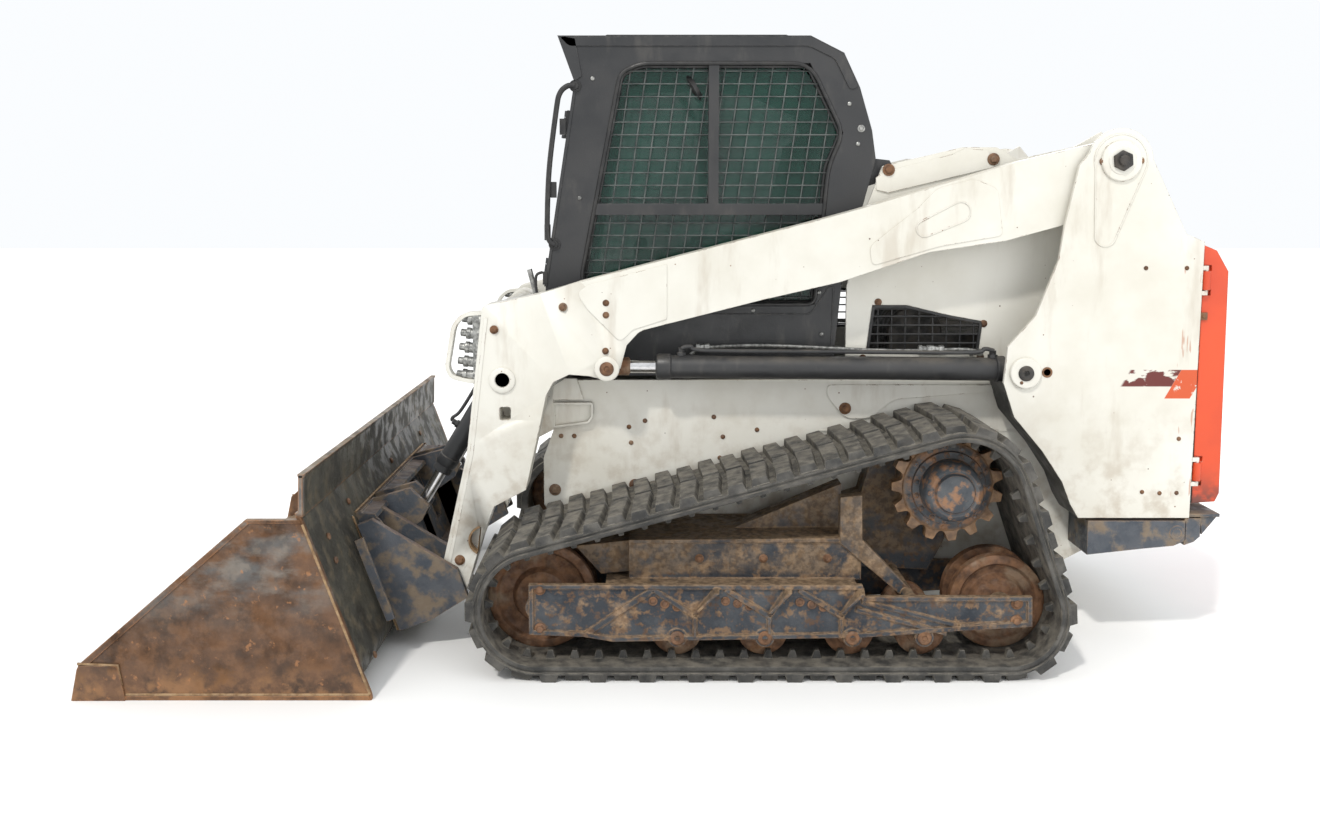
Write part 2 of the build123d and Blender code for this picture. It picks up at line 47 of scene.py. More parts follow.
# ---- materials ----
class Look:
    """One procedural material, built node by node."""

    def __init__(self, name, roughness=0.5, metallic=0.0):
        self.mat = bpy.data.materials.new(name)
        self.mat.use_nodes = True
        self.tree = self.mat.node_tree
        self.tree.nodes.clear()
        out = self.new("OutputMaterial")
        self.bsdf = self.new("BsdfPrincipled")
        self.join(self.bsdf.outputs[0], out.inputs[0])
        self.bsdf.inputs["Roughness"].default_value = roughness
        self.bsdf.inputs["Metallic"].default_value = metallic
        self.coord = self.new("TexCoord")
        self.x, self.y, self.z = self.split("Object")
        self.nx, self.ny, self.nz = self.split("Normal")

    def new(self, kind):
        return self.tree.nodes.new("ShaderNode" + kind)

    def join(self, output, target):
        self.tree.links.new(output, target)

    def split(self, output):
        node = self.new("SeparateXYZ")
        self.join(self.coord.outputs[output], node.inputs[0])
        return node.outputs

    def put(self, socket, value):
        if isinstance(value, bpy.types.NodeSocket):
            self.join(value, socket)
        elif isinstance(value, tuple) and len(value) == 3:
            socket.default_value = (*value, 1)
        else:
            socket.default_value = value

    def sums(self, operation, a, b=0.0):
        node = self.new("Math")
        node.operation = operation
        self.put(node.inputs[0], a)
        self.put(node.inputs[1], b)
        return node.outputs[0]

    def ramp(self, value, low, high, to_low=0.0, to_high=1.0):
        """value carried from low..high to to_low..to_high, and held there outside."""
        node = self.new("MapRange")
        node.interpolation_type = "SMOOTHSTEP"
        self.put(node.inputs["Value"], value)
        for key, number in (("From Min", low), ("From Max", high), ("To Min", to_low), ("To Max", to_high)):
            node.inputs[key].default_value = number
        return node.outputs[0]

    def noise(self, scale, low=0.4, high=0.6, detail=5, stretch=(1, 1, 1)):
        """Cloudy mask from 0 to 1; the closer low and high are, the harder its edges."""
        place = self.new("Mapping")
        place.inputs["Scale"].default_value = stretch
        self.join(self.coord.outputs["Object"], place.inputs[0])
        node = self.new("TexNoise")
        node.inputs["Scale"].default_value = scale
        node.inputs["Detail"].default_value = detail
        node.inputs["Roughness"].default_value = 0.6
        self.join(place.outputs[0], node.inputs["Vector"])
        return self.ramp(node.outputs[0], low, high)

    def spots(self, scale, size, keep=0.5):
        """Round specks: Voronoi cells, a share of which hold a spot."""
        node = self.new("TexVoronoi")
        node.inputs["Scale"].default_value = scale
        self.join(self.coord.outputs["Object"], node.inputs["Vector"])
        spot = self.ramp(node.outputs["Distance"], size * 0.5, size, 1.0, 0.0)
        pick = self.new("SeparateColor")
        self.join(node.outputs["Color"], pick.inputs[0])
        return self.both(spot, self.ramp(pick.outputs[0], 1 - keep, 1.02 - keep))

    def round_normal(self, radius):
        bevel = self.new("Bevel")
        bevel.samples = 4
        bevel.inputs["Radius"].default_value = radius
        return bevel.outputs[0]

    def edges(self, radius, low=0.05, high=0.2):
        """1 along sharp edges, from how far a rounded normal turns from the flat one."""
        flat = self.new("NewGeometry")
        dot = self.new("VectorMath")
        dot.operation = "DOT_PRODUCT"
        self.join(self.round_normal(radius), dot.inputs[0])
        self.join(flat.outputs["Normal"], dot.inputs[1])
        return self.ramp(self.sums("SUBTRACT", 1.0, dot.outputs["Value"]), low, high)

    def upward(self, low, high):
        """1 on faces that look up, where dust and mud settle."""
        return self.ramp(self.nz, low, high)

    def out_from(self, low, high):
        """1 past a distance from the machine's middle plane."""
        return self.ramp(self.sums("ABSOLUTE", self.y), low, high)

    def mix(self, mask, below, above):
        node = self.new("Mix")
        node.data_type = "RGBA"
        self.put(node.inputs[0], mask)
        self.put(node.inputs[6], below)
        self.put(node.inputs[7], above)
        return node.outputs[2]

    def both(self, first, *others):
        """Product of the masks: 1 where all of them are."""
        for other in others:
            first = self.sums("MULTIPLY", first, other)
        return first

    def either(self, a, b):
        return self.sums("MAXIMUM", a, b)

    def base(self, mask, below, above):
        """Make the colour a mix of two tones."""
        self.tone = self.mix(mask, below, above)
        self.put(self.bsdf.inputs["Base Color"], self.tone)

    def over(self, colour, *masks):
        """Lay another colour over what is there, where all the masks are 1."""
        self.base(self.both(*masks), self.tone, colour)

    def rough(self, mask, low, high):
        self.put(self.bsdf.inputs["Roughness"], self.ramp(mask, 0, 1, low, high))

    def bump(self, height, distance, strength, rounding):
        """Relief from a height mask, on normals rounded at the edges."""
        node = self.new("Bump")
        node.inputs["Strength"].default_value = strength
        node.inputs["Distance"].default_value = distance
        self.put(node.inputs["Height"], height)
        self.join(self.round_normal(rounding), node.inputs["Normal"])
        self.join(node.outputs[0], self.bsdf.inputs["Normal"])

    def grain(self, scale, detail):
        return self.noise(scale, 0.2, 0.8, detail)


CREAM = (0.70, 0.685, 0.625)
CREAM_SHADE = (0.60, 0.575, 0.50)
DUST = (0.36, 0.29, 0.21)
DUST_LIGHT = (0.50, 0.44, 0.35)
STRIPE_MAROON = (0.12, 0.018, 0.014)
STRIPE_ORANGE = (0.56, 0.085, 0.022)
RUST = (0.20, 0.075, 0.028)
RUST_DARK = (0.075, 0.032, 0.016)
RUST_LIGHT = (0.38, 0.17, 0.065)


def cream_paint():
    look = Look("cream_paint", 0.42)
    look.base(look.noise(2.3, 0.35, 0.75), CREAM, CREAM_SHADE)
    look.over(DUST, look.noise(9, 0.55, 0.72, stretch=(1, 1, 0.22)), 0.35)
    look.over(DUST, look.noise(14, 0.42, 0.7), look.ramp(look.z, 0.95, 0.35), 0.6)
    look.over(DUST_LIGHT, look.upward(0.5, 0.95), look.noise(11, 0.3, 0.65), 0.55)
    chips = look.both(look.edges(0.005), look.noise(26, 0.56, 0.6))
    specks = look.either(look.spots(34, 0.09, 0.16), look.spots(13, 0.045, 0.3))
    rust = look.either(chips, specks)
    look.over(look.mix(look.noise(60), RUST_DARK, RUST), rust)
    # what is left of the stripes on the uprights, between two slanted lines each
    outside = look.out_from(0.608, 0.6095)
    band = look.both(look.ramp(look.z, 0.830, 0.832), look.ramp(look.z, 0.925, 0.923), outside)
    slope = look.sums("ADD", look.x, look.both(look.z, 0.55))
    fore = look.both(look.ramp(slope, -1.118, -1.116), look.ramp(slope, -0.950, -0.960))
    aft = look.both(look.ramp(slope, -1.200, -1.198), look.ramp(slope, -1.116, -1.118))
    peel = look.noise(11, 0.46, 0.5, 6, (1, 1, 1.8))
    look.over(STRIPE_MAROON, band, fore, peel, look.ramp(look.z, 0.868, 0.872))
    look.over(STRIPE_ORANGE, band, aft, look.noise(13, 0.38, 0.42, 6))
    scratch = look.noise(70, 0.66, 0.7, 2, (1, 1, 0.12))
    look.over((0.42, 0.16, 0.08), scratch, look.ramp(look.x, -1.60, -1.62), outside, 0.6)
    look.rough(look.noise(7, 0.3, 0.7), 0.33, 0.5)
    look.bump(look.sums("SUBTRACT", look.both(look.grain(180, 2), 0.15), rust), 0.0006, 0.35, 0.003)
    return look.mat


def charcoal_paint():
    look = Look("charcoal_paint", 0.4)
    look.base(look.noise(3, 0.35, 0.7), (0.020, 0.021, 0.023), (0.035, 0.035, 0.036))
    look.over((0.22, 0.19, 0.15), look.upward(0.2, 0.95), look.noise(8, 0.3, 0.65), 0.35)
    look.over((0.13, 0.12, 0.105), look.noise(18, 0.55, 0.75, stretch=(1, 1, 0.3)), 0.25)
    look.over((0.12, 0.11, 0.10), look.edges(0.004), look.noise(30, 0.5, 0.6))
    look.rough(look.noise(12, 0.3, 0.7), 0.36, 0.6)
    look.bump(look.grain(320, 2), 0.0004, 0.35, 0.004)
    return look.mat


def orange_paint():
    look = Look("orange_paint", 0.38)
    look.base(look.noise(3, 0.35, 0.7), (0.66, 0.075, 0.018), (0.56, 0.06, 0.018))
    look.over((0.10, 0.04, 0.03), look.ramp(look.z, 0.62, 0.46), look.noise(20, 0.35, 0.6))
    look.over((0.75, 0.30, 0.2), look.edges(0.005), look.noise(34, 0.52, 0.6))
    look.rough(look.noise(9, 0.3, 0.7), 0.3, 0.48)
    look.bump(look.grain(220, 2), 0.0004, 0.3, 0.006)
    return look.mat


def rubber():
    look = Look("rubber", 0.75)
    look.base(look.noise(14, 0.35, 0.65), (0.028, 0.028, 0.027), (0.055, 0.052, 0.047))
    flat_side = look.ramp(look.sums("ABSOLUTE", look.ny), 0.4, 0.8)
    look.over((0.21, 0.19, 0.155), look.sums("SUBTRACT", 1.0, flat_side), look.noise(24, 0.28, 0.7), 0.75)
    look.over((0.17, 0.16, 0.14), flat_side, look.noise(9, 0.45, 0.7), 0.45)
    look.over((0.26, 0.24, 0.20), look.edges(0.006, 0.05, 0.25), look.noise(40, 0.4, 0.6))
    look.rough(look.noise(30), 0.62, 0.85)
    look.bump(look.grain(140, 6), 0.0018, 0.5, 0.006)
    return look.mat


def rusty_black():
    look = Look("rusty_black", 0.6)
    look.base(look.noise(6), (0.020, 0.025, 0.033), (0.048, 0.054, 0.062))
    brown = look.mix(look.noise(15), (0.10, 0.052, 0.026), (0.21, 0.125, 0.065))
    look.over(brown, look.noise(36, 0.5, 0.62, 8), 0.75)
    chipped = look.both(look.edges(0.010, 0.02, 0.2), look.noise(22, 0.25, 0.5))
    worn = look.either(look.noise(8, 0.54, 0.66, 8), chipped)
    look.over(look.mix(look.noise(44, 0.35, 0.65), brown, (0.34, 0.22, 0.12)), worn, 0.85)
    above = look.both(look.ramp(look.z, 0.290, 0.315), look.noise(9, 0.30, 0.55, 8), 0.8)
    mud = look.either(look.both(look.upward(0.25, 0.8), look.noise(12, 0.2, 0.45)), above)
    look.over(look.mix(look.noise(50), (0.13, 0.085, 0.048), (0.27, 0.185, 0.11)), mud, 0.85)
    look.over((0.30, 0.12, 0.045), look.noise(5, 0.66, 0.74, 8))
    look.rough(look.noise(18), 0.5, 0.85)
    look.bump(look.sums("ADD", look.grain(70, 8), worn), 0.0025, 0.5, 0.005)
    return look.mat


def rusty_steel():
    look = Look("rusty_steel", 0.7)
    look.base(look.noise(30, 0.35, 0.65, 8), (0.085, 0.042, 0.022), (0.19, 0.095, 0.048))
    look.over((0.27, 0.135, 0.06), look.noise(12, 0.52, 0.7), 0.7)
    look.over((0.25, 0.18, 0.12), look.noise(8, 0.52, 0.66), 0.7)
    look.rough(look.noise(25), 0.55, 0.9)
    look.bump(look.grain(90, 8), 0.002, 0.6, 0.004)
    return look.mat


def bucket_steel():
    """Bare rusty steel inside and on the sides, olive-black paint on the back."""
    look = Look("bucket_steel", 0.55)
    look.base(look.noise(5), (0.030, 0.028, 0.022), (0.060, 0.056, 0.042))
    look.over((0.12, 0.095, 0.06), look.noise(20, 0.5, 0.68), 0.6)
    paint = look.tone
    look.base(look.noise(9, 0.35, 0.65, 8), (0.048, 0.024, 0.012), (0.120, 0.058, 0.027))
    look.over((0.18, 0.088, 0.040), look.noise(26, 0.45, 0.65, 8), 0.5)
    polished = look.mix(look.noise(20), (0.11, 0.115, 0.115), (0.21, 0.19, 0.165))
    look.over(polished, look.noise(4, 0.42, 0.58, 8, (1, 1, 2.2)), look.ramp(look.z, 0.16, 0.42), 0.75)
    look.over((0.30, 0.155, 0.070), look.ramp(look.z, 0.13, 0.03), look.noise(14), 0.7)
    look.over(RUST_LIGHT, look.noise(38, 0.62, 0.72), 0.6)
    front = look.either(look.ramp(look.nx, -0.2, 0.2), look.ramp(look.x, 1.2, 1.25))
    bare = look.either(look.out_from(0.998, 1.0), front)
    look.base(bare, paint, look.tone)
    look.over(RUST_LIGHT, look.edges(0.008, 0.03, 0.2), look.noise(25, 0.3, 0.6))
    look.over(DUST, look.upward(0.4, 0.9), look.noise(12, 0.3, 0.6), 0.5)
    look.rough(look.noise(14), 0.42, 0.75)
    look.put(look.bsdf.inputs["Metallic"], look.both(bare, look.noise(7, 0.5, 0.7), 0.5))
    look.bump(look.grain(60, 8), 0.0014, 0.5, 0.004)
    return look.mat


def bumper_paint():
    look = Look("bumper_paint", 0.55)
    look.base(look.noise(7, 0.35, 0.65), (0.050, 0.060, 0.075), (0.085, 0.092, 0.105))
    look.over((0.22, 0.16, 0.10), look.noise(16, 0.45, 0.62), 0.75)
    look.over((0.34, 0.23, 0.14), look.edges(0.006, 0.04, 0.2), look.noise(28, 0.35, 0.6))
    look.over((0.16, 0.11, 0.085), look.upward(0.4, 0.9), look.noise(12, 0.25, 0.6), 0.7)
    look.rough(look.noise(18), 0.45, 0.8)
    look.bump(look.grain(90, 6), 0.0012, 0.5, 0.003)
    return look.mat


DRIVE_CENTRE = (-0.865, 0, 0.562)


def drive_steel():
    """Blue-black hub, with mud from the teeth's roots outwards."""
    look = Look("drive_steel", 0.5)
    flat = look.new("CombineXYZ")
    look.join(look.x, flat.inputs[0])
    look.join(look.z, flat.inputs[2])
    away = look.new("VectorMath")
    away.operation = "DISTANCE"
    look.join(flat.outputs[0], away.inputs[0])
    away.inputs[1].default_value = DRIVE_CENTRE
    look.base(look.noise(12, 0.35, 0.65), (0.040, 0.048, 0.058), (0.085, 0.09, 0.095))
    look.over((0.30, 0.15, 0.07), look.noise(26, 0.5, 0.64), 0.8)
    mud = look.mix(look.noise(30, 0.35, 0.65), (0.15, 0.085, 0.045), (0.32, 0.19, 0.10))
    look.over(mud, look.ramp(away.outputs["Value"], 0.128, 0.146))
    look.over((0.36, 0.18, 0.08), look.edges(0.005), look.noise(30, 0.35, 0.6))
    look.rough(look.noise(20), 0.35, 0.7)
    look.bump(look.grain(90, 6), 0.0012, 0.5, 0.003)
    return look.mat


def glass():
    look = Look("tinted_glass", 0.04)
    look.base(look.noise(3, 0.3, 0.7), (0.006, 0.034, 0.024), (0.012, 0.060, 0.044))
    look.bsdf.inputs["Alpha"].default_value = 0.62
    look.bsdf.inputs["IOR"].default_value = 1.5
    look.rough(look.noise(22, 0.45, 0.8), 0.03, 0.18)
    return look.mat


def plain(name, dark, light, rough, metallic=0.0, scale=20, bump=0.0004):
    """A simple finish: two close tones, varied roughness and a fine grain."""
    look = Look(name, rough, metallic)
    look.base(look.noise(scale, 0.35, 0.65), dark, light)
    look.rough(look.noise(scale * 1.7), rough * 0.75, min(1, rough * 1.25))
    look.bump(look.grain(scale * 12, 3), bump, 0.4, 0.002)
    return look.mat


# The record's material slots, then finishes for pieces that ride in one of them.
MATERIALS = {
    "cream_paint": cream_paint(),
    "charcoal_paint": charcoal_paint(),
    "orange_paint": orange_paint(),
    "rubber": rubber(),
    "rusty_black": rusty_black(),
    "rusty_steel": rusty_steel(),
    "bucket_steel": bucket_steel(),
    "glass": glass(),
    "dark_metal": plain("dark_metal", (0.02, 0.019, 0.018), (0.06, 0.05, 0.04), 0.6),
    "seat_vinyl": plain("seat_vinyl", (0.012, 0.012, 0.013), (0.022, 0.021, 0.02), 0.5, scale=30),
    "black_plastic": plain("black_plastic", (0.012, 0.012, 0.013), (0.028, 0.027, 0.026), 0.45),
    "chrome": plain("chrome", (0.55, 0.55, 0.56), (0.7, 0.7, 0.7), 0.16, 1.0, 40, 0.0001),
    "guard": plain("guard_wire", (0.055, 0.062, 0.060), (0.12, 0.13, 0.125), 0.5),
    "steel": plain("bright_steel", (0.16, 0.16, 0.155), (0.42, 0.42, 0.40), 0.38, 0.8, 60, 0.0003),
    "tan": plain("tan_mud", (0.20, 0.12, 0.06), (0.36, 0.24, 0.13), 0.8, 0.0, 40, 0.0012),
    "lens": plain("red_lens", (0.30, 0.010, 0.008), (0.42, 0.018, 0.012), 0.15),
    "bumper": bumper_paint(),
    "drive": drive_steel(),
}
CAD_SHARP = 32                   # degrees between faces from which an edge stays sharp
PIECE_SHARP = 34


def shade(mesh, sharp):
    """Smooth shading with sharp edges kept."""
    for polygon in mesh.polygons:
        polygon.use_smooth = True
    mesh.set_sharp_from_angle(angle=math.radians(sharp))


for row in frame["record"]["subparts"]:
    mesh = nodes[row["node"]].data
    mesh.materials.clear()
    mesh.materials.append(MATERIALS[row["material_slot"]])
    shade(mesh, CAD_SHARP)
nodes["attach_frame"].data.materials[0] = MATERIALS["bumper"]

# ---- shapes ----
MM = 0.001
MIDDLE = 17                      # the frame's X = 0, in the side outlines' X
ACROSS = (0, 1, 0)


def at(x, y, z):
    """A place in the side outlines' millimetres, in the frame's metres."""
    return Vector(((x - MIDDLE) * MM, y * MM, z * MM))


def on(spot, y):
    """A spot (X, Z) of the side outlines, at Y."""
    return at(spot[0], y, spot[1])


def between(start, end, along, across=0):
    """Point at a distance along the line from start to end, and across it to its left."""
    length = math.hypot(end[0] - start[0], end[1] - start[1])
    ux, uz = (end[0] - start[0]) / length, (end[1] - start[1]) / length
    return (start[0] + ux * along - uz * across, start[1] + uz * along + ux * across)


def polar(centre, radius, angle):
    """Point (X, Z) at a radius and an angle in degrees from +X towards +Z."""
    turn = math.radians(angle)
    return (centre[0] + radius * math.cos(turn), centre[1] + radius * math.sin(turn))


def arc(centre, radius, start, end, steps=10):
    """Points on an arc, its angles in degrees from +X towards +Z."""
    return [polar(centre, radius, start + (end - start) * step / steps) for step in range(steps + 1)]


def rounded(outline, radius, steps=5):
    """The outline with each corner cut to a curve; radius may be a number for each corner."""
    result = []
    for index, corner in enumerate(outline):
        size = radius[index] if isinstance(radius, list) else radius
        here = Vector(corner)
        if size <= 0:
            result.append(tuple(here))
            continue
        before, after = Vector(outline[index - 1]), Vector(outline[(index + 1) % len(outline)])
        reach = min(size, (before - here).length * 0.45, (after - here).length * 0.45)
        start = here + (before - here).normalized() * reach
        end = here + (after - here).normalized() * reach
        for step in range(steps + 1):
            t = step / steps
            result.append(tuple(start * (1 - t) ** 2 + here * 2 * t * (1 - t) + end * t ** 2))
    return result


def inset(outline, distance):
    """The outline with every edge brought in by distance; corners stay sharp."""
    area = sum(a[0] * b[1] - b[0] * a[1] for a, b in zip(outline, outline[1:] + outline[:1]))
    side = 1 if area > 0 else -1
    result = []
    count = len(outline)
    for index in range(count):
        a, b, c = (Vector(outline[(index + shift) % count]) for shift in (-1, 0, 1))
        first, second = (b - a).normalized(), (c - b).normalized()
        n1 = Vector((-first.y, first.x)) * side
        n2 = Vector((-second.y, second.x)) * side
        middle = n1 + n2
        result.append(tuple(b + middle * (distance / max(0.35, middle.dot(n1)))))
    return result


def smoothed(points, steps=6):
    """A smooth line through the points."""
    points = [Vector(p) for p in points]
    last = len(points) - 1
    result = []
    for index in range(last):
        p0, p1, p2, p3 = (points[min(max(index + shift, 0), last)] for shift in (-1, 0, 1, 2))
        for step in range(steps):
            t = step / steps
            result.append(0.5 * ((2 * p1) + (p2 - p0) * t + (2 * p0 - 5 * p1 + 4 * p2 - p3) * t * t
                                 + (3 * p1 - p0 - 3 * p2 + p3) * t ** 3))
    result.append(points[-1])
    return result


def linked(name, data):
    """A new object in the scene."""
    item = bpy.data.objects.new(name, data)
    bpy.context.collection.objects.link(item)
    return item


def mesh_object(name, bm):
    """A new object from a bmesh, which is used up."""
    mesh = bpy.data.meshes.new(name)
    bm.to_mesh(mesh)
    bm.free()
    return linked(name, mesh)


def apply_modifiers(piece):
    bpy.context.view_layer.update()
    shaped = piece.evaluated_get(bpy.context.evaluated_depsgraph_get())
    piece.data = bpy.data.meshes.new_from_object(shaped)
    piece.modifiers.clear()


class Piece:
    """One mesh piece, put together from simple closed solids. Sizes are in the outlines' millimetres."""

    def __init__(self, name):
        self.name = name
        self.bm = bmesh.new()

    def ring(self, points):
        return [self.bm.verts.new(p) for p in points]

    def face(self, *corners):
        self.bm.faces.new(corners)

    def skin(self, one, two):
        """Faces between two rings of as many points."""
        for i in range(len(one)):
            self.face(one[i], one[i - 1], two[i - 1], two[i])

    def prism(self, low_ring, high_ring):
        low, high = self.ring(low_ring), self.ring(high_ring)
        self.face(*low)
        self.face(*reversed(high))
        self.skin(low, high)

    def plate(self, outline, low, high):
        """Plate cut to a side outline of (X, Z), from low to high Y."""
        self.prism([on(spot, low) for spot in outline], [on(spot, high) for spot in outline])

    def hoop(self, outer, inner, low, high):
        """Plate between two outlines of as many points, from low to high Y."""
        rings = [self.ring(on(spot, y) for spot in outline)
                 for outline, y in ((outer, low), (outer, high), (inner, high), (inner, low))]
        for one, two in zip(rings, rings[1:] + rings[:1]):
            self.skin(one, two)

    def box(self, low, high):
        """Box between two corners."""
        (x0, y0, z0), (x1, y1, z1) = low, high
        self.plate([(x0, z0), (x1, z0), (x1, z1), (x0, z1)], y0, y1)

    def turned(self, place, profile, sides=24, spin=0.0, way=ACROSS):
        """Solid of revolution: profile rows are a distance along way from place, and a radius."""
        way = Vector(way).normalized()
        across = way.orthogonal().normalized()
        up = way.cross(across)
        angles = [spin + math.tau * i / sides for i in range(sides)]
        rings = []
        for along, radius in profile:
            centre = place + way * (along * MM)
            if radius > 0:
                rings.append(self.ring(centre + (across * math.cos(a) + up * math.sin(a)) * (radius * MM)
                                       for a in angles))
            else:
                rings.append(self.ring([centre]))
        for low, high in zip(rings, rings[1:]):
            for i in range(sides):
                j = (i + 1) % sides
                if len(low) == 1:
                    self.face(low[0], high[j], high[i])
                elif len(high) == 1:
                    self.face(low[i], low[j], high[0])
                else:
                    self.face(low[i], low[j], high[j], high[i])
        for ring in (rings[0], rings[-1]):
            if len(ring) > 1:
                self.face(*ring)

    def bolt(self, place, way=ACROSS, size=9):
        """Hexagon head on a washer; each is turned differently."""
        spin = (place.x * 37 + place.z * 53) % 1.0
        washer = size * 1.55
        self.turned(place, [(-1, washer), (size * 0.22, washer), (size * 0.3, washer * 0.92)], 20, way=way)
        self.turned(place, [(0, size), (size * 0.75, size), (size * 0.95, size * 0.8)], 6, spin, way)

    def dome(self, place, way=ACROSS, size=6):
        """Small round head."""
        rows = ((0.2, 1), (0.45, 0.75), (0.58, 0.35), (0.62, 0))
        profile = [(-1, size)] + [(size * along, size * radius) for along, radius in rows]
        self.turned(place, profile, 14, way=way)

    def tube(self, points, radius, sides=10, closed=False):
        """Round bar swept along points given in metres."""
        points = [Vector(p) for p in points]
        count = len(points)
        rings = []
        normal = None
        for i, point in enumerate(points):
            before = points[i - 1] if closed or i else point
            after = points[(i + 1) % count] if closed or i < count - 1 else point
            way = (after - before).normalized()
            if normal is None:
                normal = way.orthogonal().normalized()
            normal = (normal - way * normal.dot(way)).normalized()
            side = way.cross(normal)
            rings.append(self.ring(point + (normal * math.cos(a) + side * math.sin(a)) * (radius * MM)
                                   for a in (math.tau * k / sides for k in range(sides))))
        for low, high in zip(rings, rings[1:] + rings[:1] if closed else rings[1:]):
            shift = 0
            if closed and high is rings[0]:
                # the last ring meets the first at the turn that twists the skin least
                shift = min(range(sides), key=lambda s: sum((low[k].co - high[(k + s) % sides].co).length
                                                            for k in range(sides)))
            for i in range(sides):
                j = (i + 1) % sides
                self.face(low[i], low[j], high[(j + shift) % sides], high[(i + shift) % sides])
        if not closed:
            self.face(*rings[0])
            self.face(*rings[-1])

    def done(self, body, slot, look=None, mirrored=True, bevel=0.0):
        """Make the object; mirrored adds its mirror image on the machine's other side."""
        bm = self.bm
        bmesh.ops.recalc_face_normals(bm, faces=bm.faces)
        if mirrored:
            copy = bmesh.ops.duplicate(bm, geom=bm.verts[:] + bm.edges[:] + bm.faces[:])["geom"]
            verts = [item for item in copy if isinstance(item, bmesh.types.BMVert)]
            faces = [item for item in copy if isinstance(item, bmesh.types.BMFace)]
            bmesh.ops.scale(bm, vec=(1, -1, 1), verts=verts)
            bmesh.ops.reverse_faces(bm, faces=faces)
        piece = mesh_object(self.name, bm)
        piece.data.materials.append(MATERIALS[look or slot])
        shade(piece.data, PIECE_SHARP)
        if bevel:
            rim = piece.modifiers.new("rim", "BEVEL")
            rim.width = bevel * MM
            rim.segments = 2
            rim.limit_method = "ANGLE"
            rim.angle_limit = math.radians(40)
            rim.harden_normals = True
        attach(piece, body)
        return piece


def recut(node, body, slot, cutter):
    """A copy of a CAD node's mesh with the cutter taken out of it, which stands for the node."""
    bm = bmesh.new()
    bm.from_mesh(nodes[node].data)
    bmesh.ops.remove_doubles(bm, verts=bm.verts, dist=0.00002)
    bmesh.ops.recalc_face_normals(bm, faces=bm.faces)
    piece = mesh_object(node + "_cut", bm)
    tool = cutter.done(body, slot)
    cut = piece.modifiers.new("cut", "BOOLEAN")
    cut.operation = "DIFFERENCE"
    cut.object = tool
    cut.solver = "EXACT"
    apply_modifiers(piece)
    bpy.data.objects.remove(tool)
    piece.data.materials.clear()
    piece.data.materials.append(MATERIALS[slot])
    shade(piece.data, CAD_SHARP)
    for polygon in piece.data.polygons:
        polygon.material_index = 0
    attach(piece, body)
    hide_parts(node)


# ---- undercarriage ----
TRACK_INNER, TRACK_OUTER = 445, 895
BAND, LUG = 28, 24                # thickness of the belt, and its lugs' height over it
FRONT_IDLER = (436, 222, 170)    # X, Z, radius
REAR_IDLER = (-1002, 202, 150)
SPROCKET = (-848, 562, 180)
ROLLERS = (11, -257, -525, -745)
ROLLER_Z = 132
BEAM_INNER, BEAM_OUTER = 470, 870


def belt_stations(count):
    """Evenly spaced stations round the wheels: X, Z and the outward direction."""
    rough = []
    for step in range(2880):
        a = math.tau * step / 2880
        x, z, r = max((FRONT_IDLER, REAR_IDLER, SPROCKET),
                      key=lambda w: w[0] * math.cos(a) + w[1] * math.sin(a) + w[2])
        rough.append(Vector((x + r * math.cos(a), z + r * math.sin(a), a)))
    lengths = [0.0]
    for one, two in zip(rough, rough[1:] + rough[:1]):
        lengths.append(lengths[-1] + (two.xy - one.xy).length)
    stations = []
    index = 0
    for step in range(count):
        goal = lengths[-1] * step / count
        while lengths[index + 1] < goal:
            index += 1
        one, two = rough[index], rough[(index + 1) % len(rough)]
        share = (goal - lengths[index]) / max(1e-9, lengths[index + 1] - lengths[index])
        x, z = one.xy.lerp(two.xy, share)
        stations.append((x, z, math.cos(one.z), math.sin(one.z)))
    return stations


BLOCKS = 56                      # pairs of lugs round the belt
PER_BLOCK = 10                   # stations for each
LUG_LEAN = 1.6                   # stations by which a lug's ends are out of line
stations = belt_stations(BLOCKS * PER_BLOCK)


def on_belt(index, out, y):
    """Place at a station of the belt, out from its inner face and never under the ground."""
    x, z, nx, nz = stations[int(index) % len(stations)]
    return at(x + nx * out, y, max(0.0, z + nz * out))


for side, name in ((1, "left"), (-1, "right")):
    belt = Piece("track_belt_" + name)
    profile = (
        (TRACK_INNER, 3), (TRACK_INNER + 3, 0.4), (TRACK_OUTER - 3, 0.4), (TRACK_OUTER, 3),
        (TRACK_OUTER, 12), (TRACK_OUTER - 6, 15), (TRACK_OUTER - 6, 20), (TRACK_OUTER, 23),
        (TRACK_OUTER - 2, 29), (TRACK_INNER + 2, 29), (TRACK_INNER, 23))
    rings = [belt.ring(on_belt(index, out, side * y) for y, out in profile) for index in range(len(stations))]
    for one, two in zip(rings, rings[1:] + rings[:1]):
        belt.skin(one, two)
    for block in range(BLOCKS):
        middle = block * PER_BLOCK
        wide = block % 2 == 0
        for inner, outer, lean_in, lean_out in ((678, 894 if wide else 880, LUG_LEAN, 0),
                                                (460 if wide else 446, 662, 0, LUG_LEAN)):
            shape = []
            for out, half, taper in ((BAND - 3, 4.1, 0), (BAND + LUG, 3.1, 4)):
                low, high = middle - half, middle + half
                ring = ((low + lean_in, inner + taper), (high + lean_in, inner + taper),
                        (high + lean_out, outer - taper), (low + lean_out, outer - taper))
                shape.append([on_belt(round(station), out, side * y) for station, y in ring])
            belt.prism(*shape)
        guide = [(middle - 2, 0), (middle + 2, 0), (middle + 1, -26), (middle - 1, -26)]
        belt.prism(*([on_belt(s, out, side * y) for s, out in guide] for y in (803, 826)))
    piece = belt.done("chassis", "rubber", mirrored=False, bevel=3.5)
    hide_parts("track_" + name)

